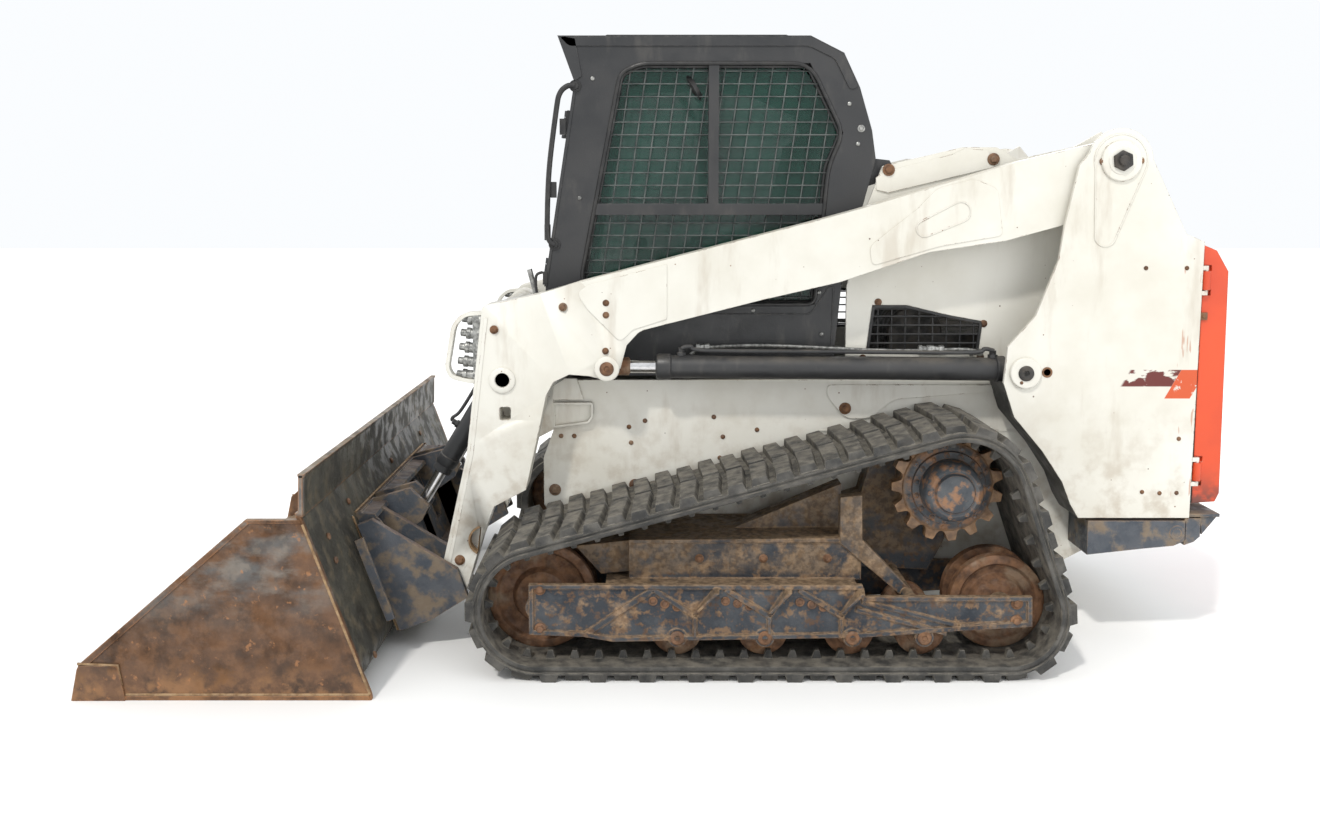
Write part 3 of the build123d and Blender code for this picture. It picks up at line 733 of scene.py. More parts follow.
beam_outline = [(464, 143), (464, 301), (-553, 299), (-562, 263), (-1070, 263), (-1073, 168), (-852, 155),
                (-556, 134), (209, 121), (295, 136)]
carrier_outline = [(161, 290), (161, 407), (-530, 407), (-532, 480), (-603, 502), (-640, 640), (-800, 700),
                   (-930, 660), (-950, 480), (-830, 240)]
strut_outline = [(-496, 547), (-564, 554), (-567, 413), (-734, 239), (-684, 239), (-498, 400)]
beam = Piece("track_beam")
beam.plate(beam_outline, BEAM_OUTER - 20, BEAM_OUTER - 8)
beam.hoop(beam_outline, inset(beam_outline, 15), BEAM_OUTER - 9, BEAM_OUTER)
beam.plate(beam_outline, BEAM_INNER, BEAM_INNER + 20)
ridges = (
    ((295, 139), (85, 285), 9), ((85, 285), (-43, 200), 8), ((-136, 285), (-270, 200), 8),
    ((-360, 283), (-490, 200), 8), ((-552, 247), (-848, 171), 7), ((-534, 222), (-812, 146), 7),
    ((-850, 172), (-1060, 180), 5))
for start, end, half in ridges:
    run = math.hypot(end[0] - start[0], end[1] - start[1])
    beam.plate([between(start, end, 0, half), between(start, end, run, half), between(start, end, run, -half),
                between(start, end, 0, -half)], BEAM_OUTER - 10, BEAM_OUTER - 2)
for top_x, top_z, foot_x, foot_z in ((-110, 294, -43, 200), (-330, 294, -270, 200), (-550, 290, -490, 200)):
    low = [at(top_x - 9, BEAM_OUTER - 10, top_z), at(top_x + 9, BEAM_OUTER - 10, top_z),
           at(foot_x + 9, BEAM_OUTER - 10, foot_z), at(foot_x - 9, BEAM_OUTER - 10, foot_z)]
    high = [at(top_x - 6, BEAM_OUTER + 28, top_z - 12), at(top_x + 6, BEAM_OUTER + 28, top_z - 12),
            at(foot_x + 6, BEAM_OUTER + 12, foot_z + 14), at(foot_x - 6, BEAM_OUTER + 12, foot_z + 14)]
    beam.prism(low, high)
    beam.plate([(foot_x - 6, foot_z), (foot_x + 6, foot_z), (foot_x + 4, ROLLER_Z), (foot_x - 4, ROLLER_Z)],
               BEAM_OUTER - 10, BEAM_OUTER + 1)
beam.plate([(232, 262), (232, 286), (-545, 286), (-545, 262)], 480, BEAM_OUTER - 10)
beam.plate([(161, 280), (161, 407), (-567, 413), (-567, 280)], 476, 760)
beam.plate([(150, 300), (150, 400), (330, 381), (249, 290)], 610, 730)
beam.plate([(161, 399), (161, 411), (-567, 417), (-567, 403)], BEAM_INNER, 768)
beam.plate(carrier_outline, 435, 530)
beam.plate(strut_outline, 730, 772)
beam.plate([(-150, 400), (-150, 404), (-520, 560), (-520, 400)], 560, 640)
beam.turned(at(-709, 480, 240), [(0, 20), (380, 20)])
beam.turned(on(SPROCKET, 437), [(0, 130), (163, 130)], 40)
for x in ROLLERS:
    beam.turned(at(x, BEAM_INNER, ROLLER_Z), [(0, 30), (395, 30)], 16)
for x, z, radius in (FRONT_IDLER, REAR_IDLER):
    beam.turned(at(x, BEAM_INNER, z), [(0, 40), (384, 40)], 20)
piece = beam.done("chassis", "rusty_black", bevel=2.0)
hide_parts("track_frames")

wheels = Piece("track_wheels")
for x in ROLLERS:
    wheels.turned(
        at(x, 540, ROLLER_Z), [(0, 28), (0, 66), (5, 79), (36, 79), (40, 62), (110, 60), (150, 60),
        (220, 62), (224, 79), (255, 79), (260, 66), (262, 44), (270, 42), (272, 24)], 40)
for x, z, radius in (FRONT_IDLER, REAR_IDLER):
    wheels.turned(
        at(x, 600, z), [(0, 40), (0, radius - 8), (6, radius), (40, radius), (44, radius - 34),
        (96, radius - 34), (100, radius), (134, radius), (140, radius - 8), (141, radius - 26),
        (128, radius - 34), (126, 92), (150, 80), (158, 64), (158, 30)], 64)
piece = wheels.done("chassis", "rusty_steel", bevel=1.2)
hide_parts("rollers")

TEETH = 15
# one tooth: degrees from its middle, and radius
TOOTH = (
    (-5.6, 166), (-4.0, 177), (4.0, 177), (5.6, 166), (6.6, 156), (8.6, 148), (12, 145), (15.4, 148),
    (17.4, 156))
drive = Piece("sprockets")
gear = [polar(SPROCKET, radius, 360 * tooth / TEETH + turn) for tooth in range(TEETH) for turn, radius in TOOTH]
drive.plate(gear, 650, 690)
drive.turned(on(SPROCKET, 600), [(0, 118), (50, 118)], 48)
drive.turned(
    on(SPROCKET, 688), [(0, 143), (8, 143), (12, 138), (16, 118), (26, 116), (30, 96), (84, 92), (92, 86),
    (98, 74), (96, 64), (108, 58), (112, 30), (113, 0)], 56)
BOLT_CIRCLES = ((TEETH, 0.5, 128, 700, 6.5), (TEETH, 0.5, 106, 716, 5.5), (9, 0, 78, 784, 4.5))
for count, half, radius, y, size in BOLT_CIRCLES:
    for hole in range(count):
        drive.bolt(on(polar(SPROCKET, radius, 360 * (hole + half) / count), y), size=size)
piece = drive.done("chassis", "rusty_steel", look="drive", bevel=1.2)
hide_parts("final_drives")

studs = Piece("undercarriage_fasteners")
for x, z in (
        (85, 247), (49, 238), (12, 229), (-136, 247), (-173, 240), (-210, 232), (-363, 244), (-400, 236),
        (-435, 228)):
    studs.turned(at(x, BEAM_OUTER - 9, z), [(0, 14), (3.5, 14), (3.5, 9), (1.5, 9)], 18)
for x, z in ((-1025, 185), (-1025, 240), (430, 285), (430, 160)):
    studs.bolt(at(x, BEAM_OUTER - 8, z), size=12)
for x in ROLLERS:
    studs.turned(at(x, BEAM_OUTER - 6, ROLLER_Z), [(0, 22), (5, 22), (8, 18), (8, 9), (5, 8)], 24)
for x in (-60, -260, -460):
    studs.bolt(at(x, 760, 350), size=9)
studs.done("chassis", "rusty_steel")


# ---- hull, uprights and tail ----
HULL_HALF = 435                  # outer face of the hull, from the middle plane
ARM_PIVOT = (-1387, 1587)
LIFT_BASE = (-1107, 914)
UPRIGHT = 611                    # outer face of the uprights
hull = Piece("hull_plates")
step_outline = rounded([(421, 706), (421, 792), (286, 792), (286, 744), (300, 722)], 8)
hull.plate(step_outline, HULL_HALF, HULL_HALF + 8)
hull.hoop(step_outline, inset(step_outline, 7), HULL_HALF, HULL_HALF + 22)
hull.plate([(421, 800), (421, 846), (380, 872), (340, 872), (318, 800)], HULL_HALF, HULL_HALF + 11)
hull.plate([(-1290, 696), (-476, 696), (-476, 690), (-1290, 690)], HULL_HALF - 1, HULL_HALF + 2)
pad = rounded(
    [(-500, 812), (-560, 735), (-650, 735), (-720, 800), (-1100, 830), (-1100, 850), (-500, 850)], 30)
hull.plate(pad, HULL_HALF - 2, HULL_HALF + 5)
hull.plate(
    [(-1040, 1574), (-1016, 1630), (-940, 1634), (-900, 1616), (-680, 1560), (-650, 1540), (-652, 1500),
    (-690, 1490)], HULL_HALF - 2, HULL_HALF + 5)
hull.done("chassis", "cream_paint", bevel=2)

fasteners = Piece("hull_fasteners")
for x, z in (
        (395, 675), (351, 675), (166, 706), (159, 652), (112, 727), (-120, 740), (-151, 672), (-141, 600),
        (-266, 696)):
    fasteners.dome(at(x, HULL_HALF, z), size=8)
for x, z in ((417, 490), (146, 507), (-1035, 1600), (-691, 1565), (-561, 770)):
    fasteners.bolt(at(x, HULL_HALF + (5 if z > 700 else 0), z), size=13)
for x, z in ((-666, 1128), (-1020, 1056), (-618, 940), (-1012, 945)):
    fasteners.bolt(at(x, HULL_HALF, z), size=8)
for x, z in ((-1499, 525), (-1556, 521), (-1611, 522), (-1480, 1250), (-1610, 1250), (-1610, 700)):
    fasteners.dome(at(x, UPRIGHT, z), size=7)
for x, z in ((-1330, 1585), (-1446, 1587)):
    fasteners.bolt(at(x, UPRIGHT + 4, z), size=8)
fasteners.bolt(at(LIFT_BASE[0] + 14, UPRIGHT + 10, LIFT_BASE[1] - 30), size=6)
fasteners.turned(at(-1178, UPRIGHT - 1, 916), [(0, 17), (2.6, 17), (2.6, 11), (1, 11)], 24)
for y in (200, 480):
    fasteners.bolt(at(-1720, y, 400), (-1, 0, 0), 13)
fasteners.done("chassis", "rusty_steel")

pivot = Piece("arm_pivots")
pivot.turned(on(ARM_PIVOT, UPRIGHT), [(0, 64), (9, 64), (12, 61), (12, 44), (15, 42), (15, 30)], 48)
pivot.turned(on(LIFT_BASE, UPRIGHT), [(0, 50), (11, 50), (14, 47), (14, 26)], 40)
teardrop = arc(ARM_PIVOT, 86, -18, 198, 24) + arc((-1347, 1352), 36, 190, 350, 12)
pivot.hoop(teardrop, inset(teardrop, 5), UPRIGHT - 1, UPRIGHT + 3)
pivot.plate(inset(teardrop, 4), UPRIGHT - 1, UPRIGHT + 1.4)
pivot.done("chassis", "cream_paint", bevel=1)

pins = Piece("pivot_pins")
pins.turned(on(ARM_PIVOT, UPRIGHT + 8), [(0, 33), (16, 33), (18, 31), (18, 0)], 6, 0.35)
pins.turned(on(ARM_PIVOT, UPRIGHT + 24), [(0, 17), (9, 17), (11, 14), (11, 0)], 24)
pins.turned(on(LIFT_BASE, UPRIGHT + 8), [(0, 25), (9, 25), (11, 22), (11, 9), (8, 8), (8, 0)], 30)
pins.done("chassis", "rusty_steel", look="dark_metal", bevel=1)

grille_outline = [(-628, 960), (-647, 1118), (-760, 1118), (-900, 1085), (-1016, 1064), (-1004, 960)]
grille = Piece("vent_grilles")
grille.hoop(rounded(grille_outline, 14), inset(rounded(grille_outline, 14), 9), HULL_HALF - 12, HULL_HALF + 3)
for x in range(-990, -640, 46):
    top = 1062 + (x + 1016) * 0.21 if x < -760 else 1114
    grille.tube([at(x, HULL_HALF - 8, 962), at(x, HULL_HALF - 8, top)], 3.2, 6)
for z in (990, 1020, 1050):
    grille.tube([at(-1010, HULL_HALF - 4, z), at(-636, HULL_HALF - 4, z)], 3.2, 6)
for z in (1080, 1105):
    grille.tube([at(-900 if z < 1100 else -820, HULL_HALF - 4, z), at(-640, HULL_HALF - 4, z)], 3.2, 6)
grille.done("chassis", "black_plastic")

core = Piece("radiator")
core.box((-1590, -410, 862), (-1530, 410, 1300))
for index in range(26):
    z = 880 + index * 16
    core.box((-1596, -400, z), (-1588, 400, z + 5))
core.box((-1330, -400, 870), (-700, 400, 900))
core.turned(at(-820, -300, 1010), [(0, 90), (6, 96), (594, 96), (600, 90)], 28)
core.done("chassis", "dark_metal", mirrored=False)

# Charcoal strip from the hull side out to the upright's outer face: painted shade for a face of the body that
# lies in shadow
gap_shade_plate = Piece("upright_gap_painted_shade")
gap_shade_plate.plate(
    [(-1040, 880), (-1077, 771), (-1171, 660), (-1239, 558), (-1268, 485), (-1295, 439), (-1310, 439),
    (-1282, 490), (-1253, 565), (-1184, 670), (-1091, 778), (-1054, 880)], HULL_HALF, UPRIGHT - 1)
gap_shade_plate.done("chassis", "charcoal_paint")

bumper = Piece("bumper_plates")
bumper.plate([(-1328, 429), (-1650, 429), (-1650, 362), (-1611, 345), (-1508, 335), (-1329, 315)], 435, 609)
bumper.plate([(-1640, 452), (-1757, 452), (-1757, 441), (-1640, 441)], 0, 609)
bumper.plate([(-1644, 437), (-1696, 437), (-1696, 376), (-1676, 358), (-1644, 347)], 0, 609)
bumper.plate([(-1696, 441), (-1752, 441), (-1704, 380)], 587, 601)
bumper.plate([(-1696, 441), (-1752, 441), (-1704, 380)], 300, 314)
bumper.turned(at(-1620, 606, 388), [(0, 24), (5, 24), (5, 15), (1, 14)], 24)
piece = bumper.done("chassis", "charcoal_paint", look="bumper", bevel=2)
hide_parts("rear_bumper")

lines = Piece("steel_lines")
LINE_Y = 460
run = ((-1000, 962), (-940, 972), (-700, 968), (-300, 985), (-90, 979), (-58, 968), (-40, 955))
lines.tube(smoothed(on(spot, LINE_Y) for spot in run), 6, 10)
for x, z in ((-990, 962), (-860, 973), (-820, 973), (-80, 980)):
    lines.turned(
        at(x - 22, LINE_Y, z), [(0, 13), (16, 13), (18, 10), (30, 10), (32, 13), (44, 13)], 6,
        way=(1, 0, 0.02))
lines.done("chassis", "dark_metal", look="steel")

louvres = Piece("tailgate_louvres")
for index in range(8):
    z = 650 + index * 60
    slat = [(-1754, z), (-1754, z + 34), (-1757, z + 34), (-1772, z)]
    for y in (-275, 275):
        louvres.plate(slat, y - 205, y + 205)
louvres.box((-1768, -60, 1110), (-1750, 60, 1170))
louvres.done("tailgate", "orange_paint", mirrored=False, bevel=2)

rubber_rim = Piece("tailgate_seal")
rubber_rim.plate([(-1662, 1322), (-1674, 1322), (-1674, 483), (-1662, 483)], -588, 588)
rubber_rim.done("tailgate", "black_plastic", mirrored=False)

tabs = Piece("tailgate_catches")
for z in (1188, 1095, 560):
    tabs.box((-1690, 586, z - 12), (-1664, 597, z + 12))
    tabs.dome(at(-1678, 597, z), size=6)
tabs.done("tailgate", "rusty_steel")

lens = Piece("tail_lamps")
lens.plate(rounded([(-1756, 1120), (-1756, 1230), (-1768, 1227), (-1770, 1123)], 3), 470, 530)
lens.done("tailgate", "orange_paint", look="lens", bevel=3)

# ---- cab ----
CAB_HALF = 430                   # outer face of the cab's sides
window = [
    (193, 1881), (124, 1911), (-430, 1911), (-541, 1686), (-494, 1574), (-455, 1120), (250, 1120),
    (327, 1196)]


def across(outline, a, b, c):
    """Where the line a * x + b * z = c crosses the outline."""
    hits = []
    for (x0, z0), (x1, z1) in zip(outline, outline[1:] + outline[:1]):
        d0, d1 = a * x0 + b * z0 - c, a * x1 + b * z1 - c
        if d0 * d1 < 0:
            t = d0 / (d0 - d1)
            hits.append((x0 + (x1 - x0) * t, z0 + (z1 - z0) * t))
    return sorted(hits)


guard = Piece("window_guards")
WIRE_RISE, WIRE_STEP = 41.5, 52  # between the level wires, and between the leaning ones
for step in range(-10, 11):
    level = across(window, 0, 1, 1515 + step * WIRE_RISE)
    leaning = across(window, 1, 0.14, 112 + step * WIRE_STEP)
    for hits, y in ((level, 406), (leaning, 403)):
        if len(hits) > 1:
            guard.tube([at(x, y, z) for x, z in (hits[0], hits[-1])], 2.3, 6)
guard.done("cab", "dark_metal", look="guard")

seals = Piece("window_seals")
rim_line = rounded(window, [30, 30, 60, 45, 40, 30, 30, 40])
seals.tube([on(spot, CAB_HALF - 1) for spot in rim_line], 7, 8, closed=True)
seals.tube([on(spot, CAB_HALF - 30) for spot in inset(rounded(window, 20), 6)], 8, 8, closed=True)
seals.done("cab", "black_plastic")

trim = Piece("cab_trim")
trim.plate([(448, 1180), (343, 1852), (333, 1852), (438, 1180)], CAB_HALF - 1, CAB_HALF + 3)
lower = rounded(
    [(438, 900), (432, 1090), (-440, 1090), (-500, 1180), (-520, 1180), (-515, 990), (-515, 900)], 16)
trim.hoop(lower, inset(lower, 5), CAB_HALF - 1, CAB_HALF + 2.5)
roof = rounded(
    [(390, 1996), (-430, 1996), (-536, 1942), (-588, 1832), (-560, 1826), (-510, 1925), (-425, 1966),
    (360, 1966)], 12)
trim.plate(roof, CAB_HALF - 1, CAB_HALF + 4)
trim.plate([(397, 2000), (343, 1852), (318, 1870), (340, 1990)], CAB_HALF - 1, CAB_HALF + 4)
trim.plate(rounded([(330, 1996), (330, 2004), (-420, 2004), (-430, 1996)], 3), 0, 396)
for y in (95, 230, 350):
    trim.plate(rounded([(250, 2002), (240, 2012), (-360, 2012), (-370, 2002)], 4), y - 16, y + 16)
trim.done("cab", "charcoal_paint", bevel=3)

rails = Piece("grab_rails")
rail = (
    (340, 1838), (366, 1836), (390, 1812), (402, 1758), (427, 1564), (435, 1380), (430, 1336), (410, 1318))
rails.tube(smoothed([on(spot, 441) for spot in rail], 7), 9, 12)
for x, z in ((340, 1838), (412, 1320)):
    rails.turned(at(x, CAB_HALF, z), [(0, 20), (4, 20), (4, 12), (14, 12)], 20)
rails.box((436, 425, 1190), (452, 436, 1230))
rails.tube(
    smoothed([at(452, 433, 1150), at(472, 433, 1160), at(474, 433, 1215), at(452, 433, 1228)], 5), 5, 8)
for x, z in ((372, 1706), (404, 1500), (425, 1360)):
    rails.box((x, 424, z - 26), (x + 20, 436, z + 26))
rails.done("cab", "black_plastic", bevel=1)

strut = Piece("cab_strut")
strut.tube([at(474, 400, 1136), at(500, 400, 1236)], 9, 12)
strut.tube([at(468, 400, 1110), at(474, 400, 1140)], 14, 12)
strut.done("cab", "chrome", look="steel")

cab_bolts = Piece("cab_bolts")
for x, z in (
        (283, 1862), (328, 1473), (-560, 1780), (-590, 1650), (-470, 1160), (300, 1150), (-480, 1020),
        (0, 1100), (200, 1100), (-250, 1100)):
    cab_bolts.dome(at(x, CAB_HALF + 1, z), size=7)
cab_bolts.bolt(at(-600, CAB_HALF, 1700), size=8)
cab_bolts.done("cab", "dark_metal", look="steel")

rear = Piece("cab_rear_glass")
rear.plate([(-556, 1276), (-640, 1586), (-645, 1585), (-561, 1275)], -318, 318)
rear.done("cab", "glass", mirrored=False)

wiper = Piece("door_wiper")
wiper.tube([at(352, 40, 1800), at(395, 10, 1480)], 5, 8)
wiper.tube([at(420, 12, 1290), at(378, 14, 1600)], 7, 8)
wiper.box((440, -230, 1440), (446, -222, 1500))
wiper.done("cab_door", "black_plastic", mirrored=False)

handle = Piece("door_handle")
grip = ((446, 1230), (474, 1240), (458, 1370), (426, 1384))
handle.tube(smoothed([on(spot, -270) for spot in grip], 6), 8, 10)
handle.turned(at(442, -270, 1300), [(0, 18), (16, 18), (19, 14), (19, 0)], 20, way=(1, 0, 0.14))
handle.done("cab_door", "black_plastic", mirrored=False)

# ---- seat ----
PIPING_WIDTH, PIPING_DEPTH = 0.012, 0.006


def cushion(name, outline, half, puff, piping):
    """A padded form: a rounded slab that cloth pressure swells by puff at most, with seams at piping."""
    shape = Piece(name + "_core")
    shape.plate(outline, -half, half)
    bm = shape.bm
    bmesh.ops.recalc_face_normals(bm, faces=bm.faces)
    bmesh.ops.bevel(bm, geom=bm.edges[:], offset=0.02, segments=3, affect="EDGES", profile=0.5)
    pad = mesh_object(name, bm)
    net = pad.modifiers.new("net", "REMESH")
    net.mode = "VOXEL"
    net.voxel_size = 0.012
    apply_modifiers(pad)
    rest = [v.co.copy() for v in pad.data.vertices]
    moved = rest
    cloth = pad.modifiers.new("puff", "CLOTH")
    cloth.settings.use_pressure = True
    cloth.settings.uniform_pressure_force = 4
    cloth.settings.effector_weights.gravity = 0
    cloth.settings.quality = 4
    for number in range(1, 16):
        bpy.context.scene.frame_set(number)
    swollen = pad.evaluated_get(bpy.context.evaluated_depsgraph_get()).to_mesh()
    moved = [v.co.copy() for v in swollen.vertices]
    pad.modifiers.clear()
    bpy.context.scene.frame_set(1)
    for vertex, start, end in zip(pad.data.vertices, rest, moved):
        shift = end - start
        if shift.length > puff:
            shift = shift.normalized() * puff
        vertex.co = start + shift
    for vertex in pad.data.vertices:
        gap = abs(abs(vertex.co.y) - piping)
        if gap < PIPING_WIDTH:
            vertex.co -= vertex.normal * PIPING_DEPTH * (1 - (gap / PIPING_WIDTH) ** 2)
    for polygon in pad.data.polygons:
        polygon.use_smooth = True
    sub = pad.modifiers.new("sub", "SUBSURF")
    sub.levels = sub.render_levels = 1
    pad.data.materials.append(MATERIALS["seat_vinyl"])
    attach(pad, "cab")
    return pad


base_outline = rounded([(66, 1122), (80, 1150), (66, 1198), (-200, 1190), (-380, 1180), (-380, 1118)], 14)
base = cushion("seat_cushion", base_outline, 220, 0.012, 0.15)
back_outline = rounded([(-362, 1180), (-320, 1280), (-430, 1690), (-470, 1712), (-505, 1690), (-420, 1250),
                        (-410, 1180)], 14)
back = cushion("seat_backrest", back_outline, 215, 0.014, 0.14)

mount = Piece("seat_pedestal")
mount.box((-330, -190, 925), (30, 190, 1090))
mount.box((-360, -215, 1086), (60, 215, 1112))
for y in (-262, 262):
    mount.plate(rounded([(-60, 1300), (-60, 1330), (-380, 1340), (-400, 1300)], 12), y - 28, y + 28)
    mount.plate([(-380, 1300), (-340, 1300), (-360, 1110), (-400, 1110)], y - 14, y + 14)
mount_piece = mount.done("cab", "seat_vinyl", look="black_plastic", mirrored=False, bevel=6)
for piece in (base, back, mount_piece):
    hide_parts("seat")

sticks = Piece("joysticks")
sticks.plate(rounded([(180, 1120), (180, 1150), (40, 1160), (-60, 1150), (-60, 1120)], 10), 250, 312)
sticks.turned(
    at(130, 280, 1150), [(0, 26), (20, 22), (50, 14), (62, 13), (70, 20), (130, 22), (160, 24), (172, 18),
    (176, 0)], 20, way=(0, 0, 1))
sticks.done("cab", "black_plastic", bevel=2)

inside = Piece("cab_inside")
inside.box((150, 0, 1060), (330, 280, 1075))
inside.plate(
    rounded([(-520, 1780), (-560, 1900), (-300, 1940), (300, 1940), (300, 1900), (-280, 1890)], 16), 340,
    380)
inside.turned(at(-60, 360, 1840), [(0, 52), (14, 60), (22, 40), (24, 0)], 24, way=(1, 0, -0.6))
inside.done("cab", "black_plastic")


# ---- lift arms ----
ARM_OUTER = 585                  # outer face of the lift arms
ARM_PIN = (742, 198)
LIFT_EYE = (234, 925)
BORE = (572, 887)
NOTCH = (640, 356)
cutter = Piece("arm_cutter")
cutter.turned(on(BORE, 440), [(0, 23), (180, 23)], 32)
cutter.plate(rounded([(546, 755), (582, 755), (582, 799), (546, 799)], 8), 500, 600)
cutter.turned(on(NOTCH, 540), [(0, 46), (80, 46)], 32)
recut("lift_arms", "lift_arms", "cream_paint", cutter)

arms = Piece("arm_plates")
arms.turned(on(BORE, ARM_OUTER - 2), [(0, 42), (8, 42), (10, 39), (10, 24), (0, 24)], 40)
arms.turned(on(LIFT_EYE, ARM_OUTER + 6), [(0, 40), (7, 40), (9, 37), (9, 22)], 36)
arms.turned(on(ARM_PIN, ARM_OUTER - 1), [(0, 40), (7, 40), (9, 37), (9, 24)], 36)
guard_outline = rounded(
    [(604, 1112), (697, 1105), (735, 1067), (760, 924), (744, 890), (684, 874), (610, 874)],
    [2, 30, 30, 18, 24, 24, 2])
arms.hoop(guard_outline, inset(guard_outline, 13), 530, 570)
doubler = rounded(
    [(-615, 1256), (-606, 1318), (-751, 1433), (-818, 1502), (-935, 1532), (-1010, 1500), (-1030, 1352),
    (-830, 1318)], 18)
arms.plate(doubler, ARM_OUTER - 1, ARM_OUTER + 2.5)
capsule = arc((-893, 1427), 34, 66, 246, 12) + arc((-780, 1374), 28, 246, 426, 12)
arms.hoop(capsule, inset(capsule, 4), ARM_OUTER, ARM_OUTER + 4.5)
doubler = rounded(
    [(40, 1262), (290, 1196), (330, 1170), (300, 1120), (190, 1010), (150, 1050), (40, 1085)],
    [6, 6, 26, 36, 20, 8, 6])
arms.plate(doubler, ARM_OUTER - 1, ARM_OUTER + 2.5)
leg = [(628, 1090), (680, 650), (764, 266), (752, 264), (668, 650), (616, 1090)]
arms.plate(leg, ARM_OUTER - 1, ARM_OUTER + 2)
arms.done("lift_arms", "cream_paint", bevel=1.2)

arm_pins = Piece("arm_pins")
arm_pins.turned(on(LIFT_EYE, ARM_OUTER + 5), [(0, 23), (12, 23), (14, 20), (14, 9), (11, 8), (11, 0)], 28)
arm_pins.turned(on(ARM_PIN, ARM_OUTER + 5), [(0, 24), (6, 24), (8, 21), (8, 10), (6, 9), (6, 0)], 28)
for x, z, size in (
        (719, 291, 11), (596, 1051, 9), (374, 1124, 9), (236, 1137, 7), (236, 1098, 7), (238, 982, 7),
        (770, 262, 7)):
    arm_pins.bolt(at(x, ARM_OUTER + (2 if x < 700 else 0), z), size=size)
arm_pins.done("lift_arms", "rusty_steel")

notch = Piece("arm_notch_rims")
rim_end = [polar(NOTCH, 44, 76)]
notch.hoop(
    arc(NOTCH, 50, -64, 76, 20) + rim_end, arc(NOTCH, 44, -64, 76, 20) + rim_end, ARM_OUTER - 30,
    ARM_OUTER + 2)
notch.done("lift_arms", "rusty_steel", look="tan")

couplers = Piece("hydraulic_couplers")
front = ((690, 648), (634, 1127))
length = math.hypot(front[1][0] - front[0][0], front[1][1] - front[0][1])
COUPLER = [(-4, 21), (8, 21), (9, 17), (30, 17), (31, 19), (44, 19), (46, 12), (62, 12), (64, 8), (64, 0)]
for drop in (50, 96, 142, 188, 232):
    x, z = between(*front, length - drop)
    couplers.turned(at(x, 550, z), COUPLER, 20, way=(0.99, 0, 0.116))
couplers.box((640, 534, 870), (668, 566, 1096))
couplers.done("lift_arms", "rusty_steel", look="steel", bevel=0.8)

cross = Piece("arm_cross_details")
cross.turned(at(600, 270, 1072), [(0, 47), (4, 51), (116, 51), (120, 47)], 36)
cross.turned(at(600, 452, 1072), [(0, 58), (10, 58), (14, 52)], 36)
cross.done("lift_arms", "cream_paint")

# ---- cylinders ----
def along_line(base, end):
    """Direction and length of the line between two pins."""
    run = Vector((end[0] - base[0], 0, end[1] - base[1]))
    return run.normalized(), run.length


LIFT_Y, TILT_Y = 525, 330
barrels = Piece("lift_barrel_fittings")
way, run = along_line(LIFT_BASE, LIFT_EYE)
start = on(LIFT_BASE, LIFT_Y)
barrels.turned(start + way * 1.132, [(0, 38), (4, 43), (40, 43), (48, 40), (52, 30)], 32, way=way)
barrels.turned(start + way * 0.04, [(0, 38), (4, 44), (30, 44), (34, 38)], 32, way=way)
for along in (0.08, 1.1):
    port = start + way * along + Vector((0, 0, 0.036))
    barrels.turned(port, [(0, 16), (12, 16), (12, 11), (26, 11)], 6, way=(0, 0, 1))
pipe = ((0.08, 0.062), (0.11, 0.068), (0.16, 0.056), (0.5, 0.055), (1.0, 0.055), (1.07, 0.068), (1.1, 0.062))
barrels.tube(smoothed(start + way * along + Vector((0, 0.012, up)) for along, up in pipe), 7, 10)
barrels.done("lift_barrels", "charcoal_paint", bevel=1)

eye = Piece("lift_rod_eyes")
eye.turned(on(LIFT_EYE, 494), [(0, 37), (62, 37)], 36)
eye.turned(start + way * (run * MM - 0.075), [(0, 22), (6, 30), (40, 30)], 28, way=way)
eye.done("lift_rods", "rusty_steel")

TILT_BASE, TILT_EYE = (560, 960), (896, 407.5)
tilts = Piece("tilt_barrel_fittings")
way, run = along_line(TILT_BASE, TILT_EYE)
start = on(TILT_BASE, TILT_Y)
tilts.turned(start + way * 0.44, [(0, 34), (3, 37), (30, 37), (36, 34), (40, 26)], 28, way=way)
tilts.turned(start + way * 0.05, [(0, 34), (3, 38), (26, 38), (30, 34)], 28, way=way)
side = Vector((way.z, 0, -way.x))
side = side if side.z > 0 else -side
for along in (0.08, 0.33):
    tilts.turned(start + way * along + side * 0.032, [(0, 14), (10, 14), (10, 10), (24, 10)], 6, way=side)
pipe = ((0.08, 0.056), (0.1, 0.062), (0.15, 0.05), (0.28, 0.05), (0.32, 0.062), (0.33, 0.056))
tilts.tube(smoothed(start + way * along + side * out for along, out in pipe), 6, 10)
tilts.done("tilt_barrels", "charcoal_paint", bevel=1)

# ---- bucket ----
HEEL, BACK_TOP = (905, 0), (1110, 565)
BUCKET_HALF = 1016               # outer face of the bucket's sides


def on_back(along, behind):
    """Spot (X, Z) up the bucket's back from its heel, and behind its face."""
    return between(HEEL, BACK_TOP, along, behind)


strips = Piece("bucket_strips")
strips.plate(
    rounded([(1793, 0), (1770, 107), (1652, 107), (1634, 10), (1634, 0)], [3, 14, 10, 4, 0]),
    BUCKET_HALF - 1, BUCKET_HALF + 7)
strips.plate([(1770, 107), (1265, 542), (1254, 530), (1740, 107)], BUCKET_HALF - 1, BUCKET_HALF + 4)
strips.plate([(1265, 542), (1106, 542), (1102, 531), (1260, 531)], BUCKET_HALF - 1, BUCKET_HALF + 3)
strips.plate([(1640, 0), (1640, 14), (920, 14), (914, 0)], BUCKET_HALF - 1, BUCKET_HALF + 3)
strips.box((1640, 0, 0), (1785, BUCKET_HALF, 16))
strips.done("bucket", "bucket_steel", mirrored=True, bevel=1.5)

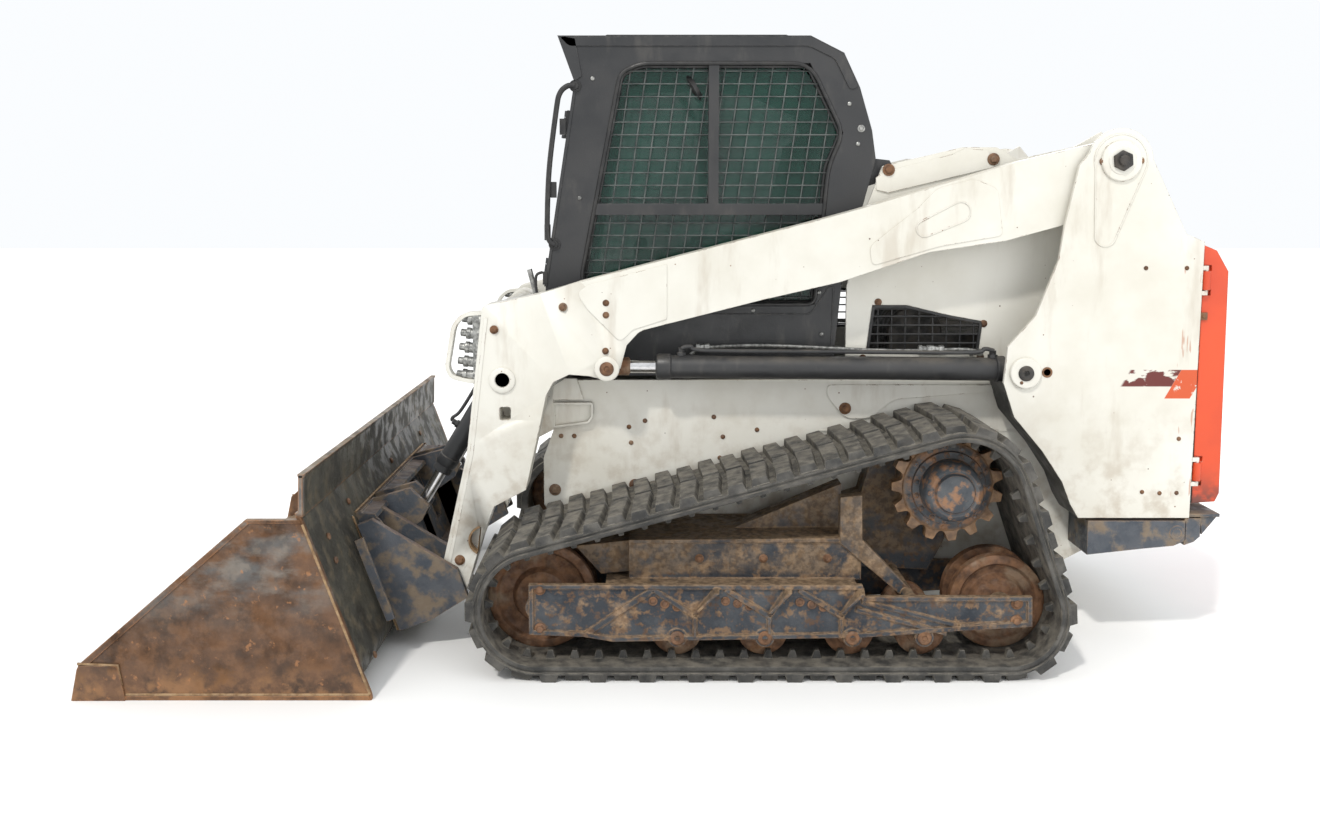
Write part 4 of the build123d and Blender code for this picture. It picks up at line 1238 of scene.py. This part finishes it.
beads = Piece("bucket_welds")
corner_weld = [(1640, 16), (1652, 107), (1770, 112)]
straight_welds = ([(1270, 528), (1745, 118)], [(917, 18), (1100, 528)], [(920, 17), (1634, 17)])
beads.tube([on(spot, BUCKET_HALF + 3) for spot in corner_weld], 4, 7)
for line in straight_welds:
    beads.tube(smoothed([on(spot, BUCKET_HALF) for spot in line], 8), 4, 7)
for y in (600, -600):
    beads.tube([on(on_back(along, 2), y) for along in (62, 470)], 4, 6)
for along in (62, 474):
    beads.tube([on(on_back(along, 3), y) for y in (-560, 560)], 4, 6)
beads.done("bucket", "bucket_steel", look="tan", mirrored=False)

mirror_beads = Piece("bucket_welds_right")
for line in (corner_weld, *straight_welds):
    mirror_beads.tube([on(spot, -BUCKET_HALF) for spot in line], 4, 7)
mirror_beads.done("bucket", "bucket_steel", look="tan", mirrored=False)

lip = Piece("bucket_top_lip")
lip.plate([(1093, 664), (1089, 676), (1111, 676), (1108, 664)], 0, BUCKET_HALF)
lip.done("bucket", "bucket_steel", bevel=2)

plates = Piece("attach_plates")
for y in (437, 545):
    ear = ((64, 12), (436, 12), (436, 62), (330, 92), (150, 92), (64, 70))
    plates.plate(rounded([on_back(*spot) for spot in ear], 20), y, y + 9)
web = [on_back(130, 15), on_back(130, 44), on_back(410, 44), on_back(410, 15)]
for low, high in ((100, 112), (-106, -94), (94, 106), (700, 712)):
    plates.plate(web, low, high)
plates.turned(on(on_back(250, 40), 470), [(0, 16), (60, 16)], 20)
plates.done("bucket", "charcoal_paint", look="bumper", bevel=1.5)

bucket_bolts = Piece("bucket_bolts")
for y in (-900, -600, -300, 0, 300, 600, 900):
    bucket_bolts.dome(at(1730, y, 17), (0, 0, 1), 13)
for y, along in ((887, 407), (869, 480), (585, 518), (-42, 518), (-585, 518), (640, 120), (880, 90)):
    bucket_bolts.dome(on(on_back(along, 2), y), (-0.94, 0, 0.34), 11)
bucket_bolts.done("bucket", "rusty_steel", mirrored=False)

# ---- studio ----
floor = linked("floor", bpy.data.meshes.new("floor"))
floor.data.from_pydata([(-40, -40, 0), (40, -40, 0), (40, 40, 0), (-40, 40, 0)], [], [(0, 1, 2, 3)])
ground = Look("ground", 0.9)
ground.base(ground.noise(0.7, 0.3, 0.7), (0.90, 0.90, 0.895), (0.93, 0.93, 0.925))
floor.data.materials.append(ground.mat)

world = bpy.data.worlds.new("studio")
bpy.context.scene.world = world
world.use_nodes = True
background = world.node_tree.nodes["Background"]
background.inputs["Color"].default_value = (0.96, 0.98, 1.0, 1)
background.inputs["Strength"].default_value = 1.0
bpy.context.scene.view_settings.view_transform = "Standard"


def lamp(name, kind, energy, place, aim, size, colour=(1, 1, 1)):
    """A light at place that looks at aim; size is an angle for a sun and a width for an area."""
    data = bpy.data.lights.new(name, kind)
    data.energy = energy
    data.color = colour
    if kind == "AREA":
        data.size = size
    else:
        data.angle = size
    light = linked(name, data)
    light.location = place
    light.rotation_euler = (Vector(aim) - Vector(place)).to_track_quat("-Z", "Y").to_euler()


lamp("key", "SUN", 1.55, (2.5, 4.5, 6.5), (0, 0, 0.6), math.radians(4), (1.0, 0.97, 0.92))
lamp("fill", "AREA", 70, (-4, 5, 3.0), (0, 0, 0.8), 4.0)
lamp("back", "AREA", 110, (-2, -5, 4.5), (0, 0, 0.8), 4.0)

# the photograph's camera: as far out, as high and as far tilted as its perspective says
camera = linked("camera", bpy.data.cameras.new("camera"))
bpy.context.scene.camera = camera
camera.location = (0.068, 4.295, 1.43)
camera.rotation_euler = (math.radians(84), 0, math.pi)
camera.data.lens = 31.6363636    # mm, on a sensor 36 mm wide
camera.data.shift_x = 0.0053
camera.data.shift_y = -0.0659
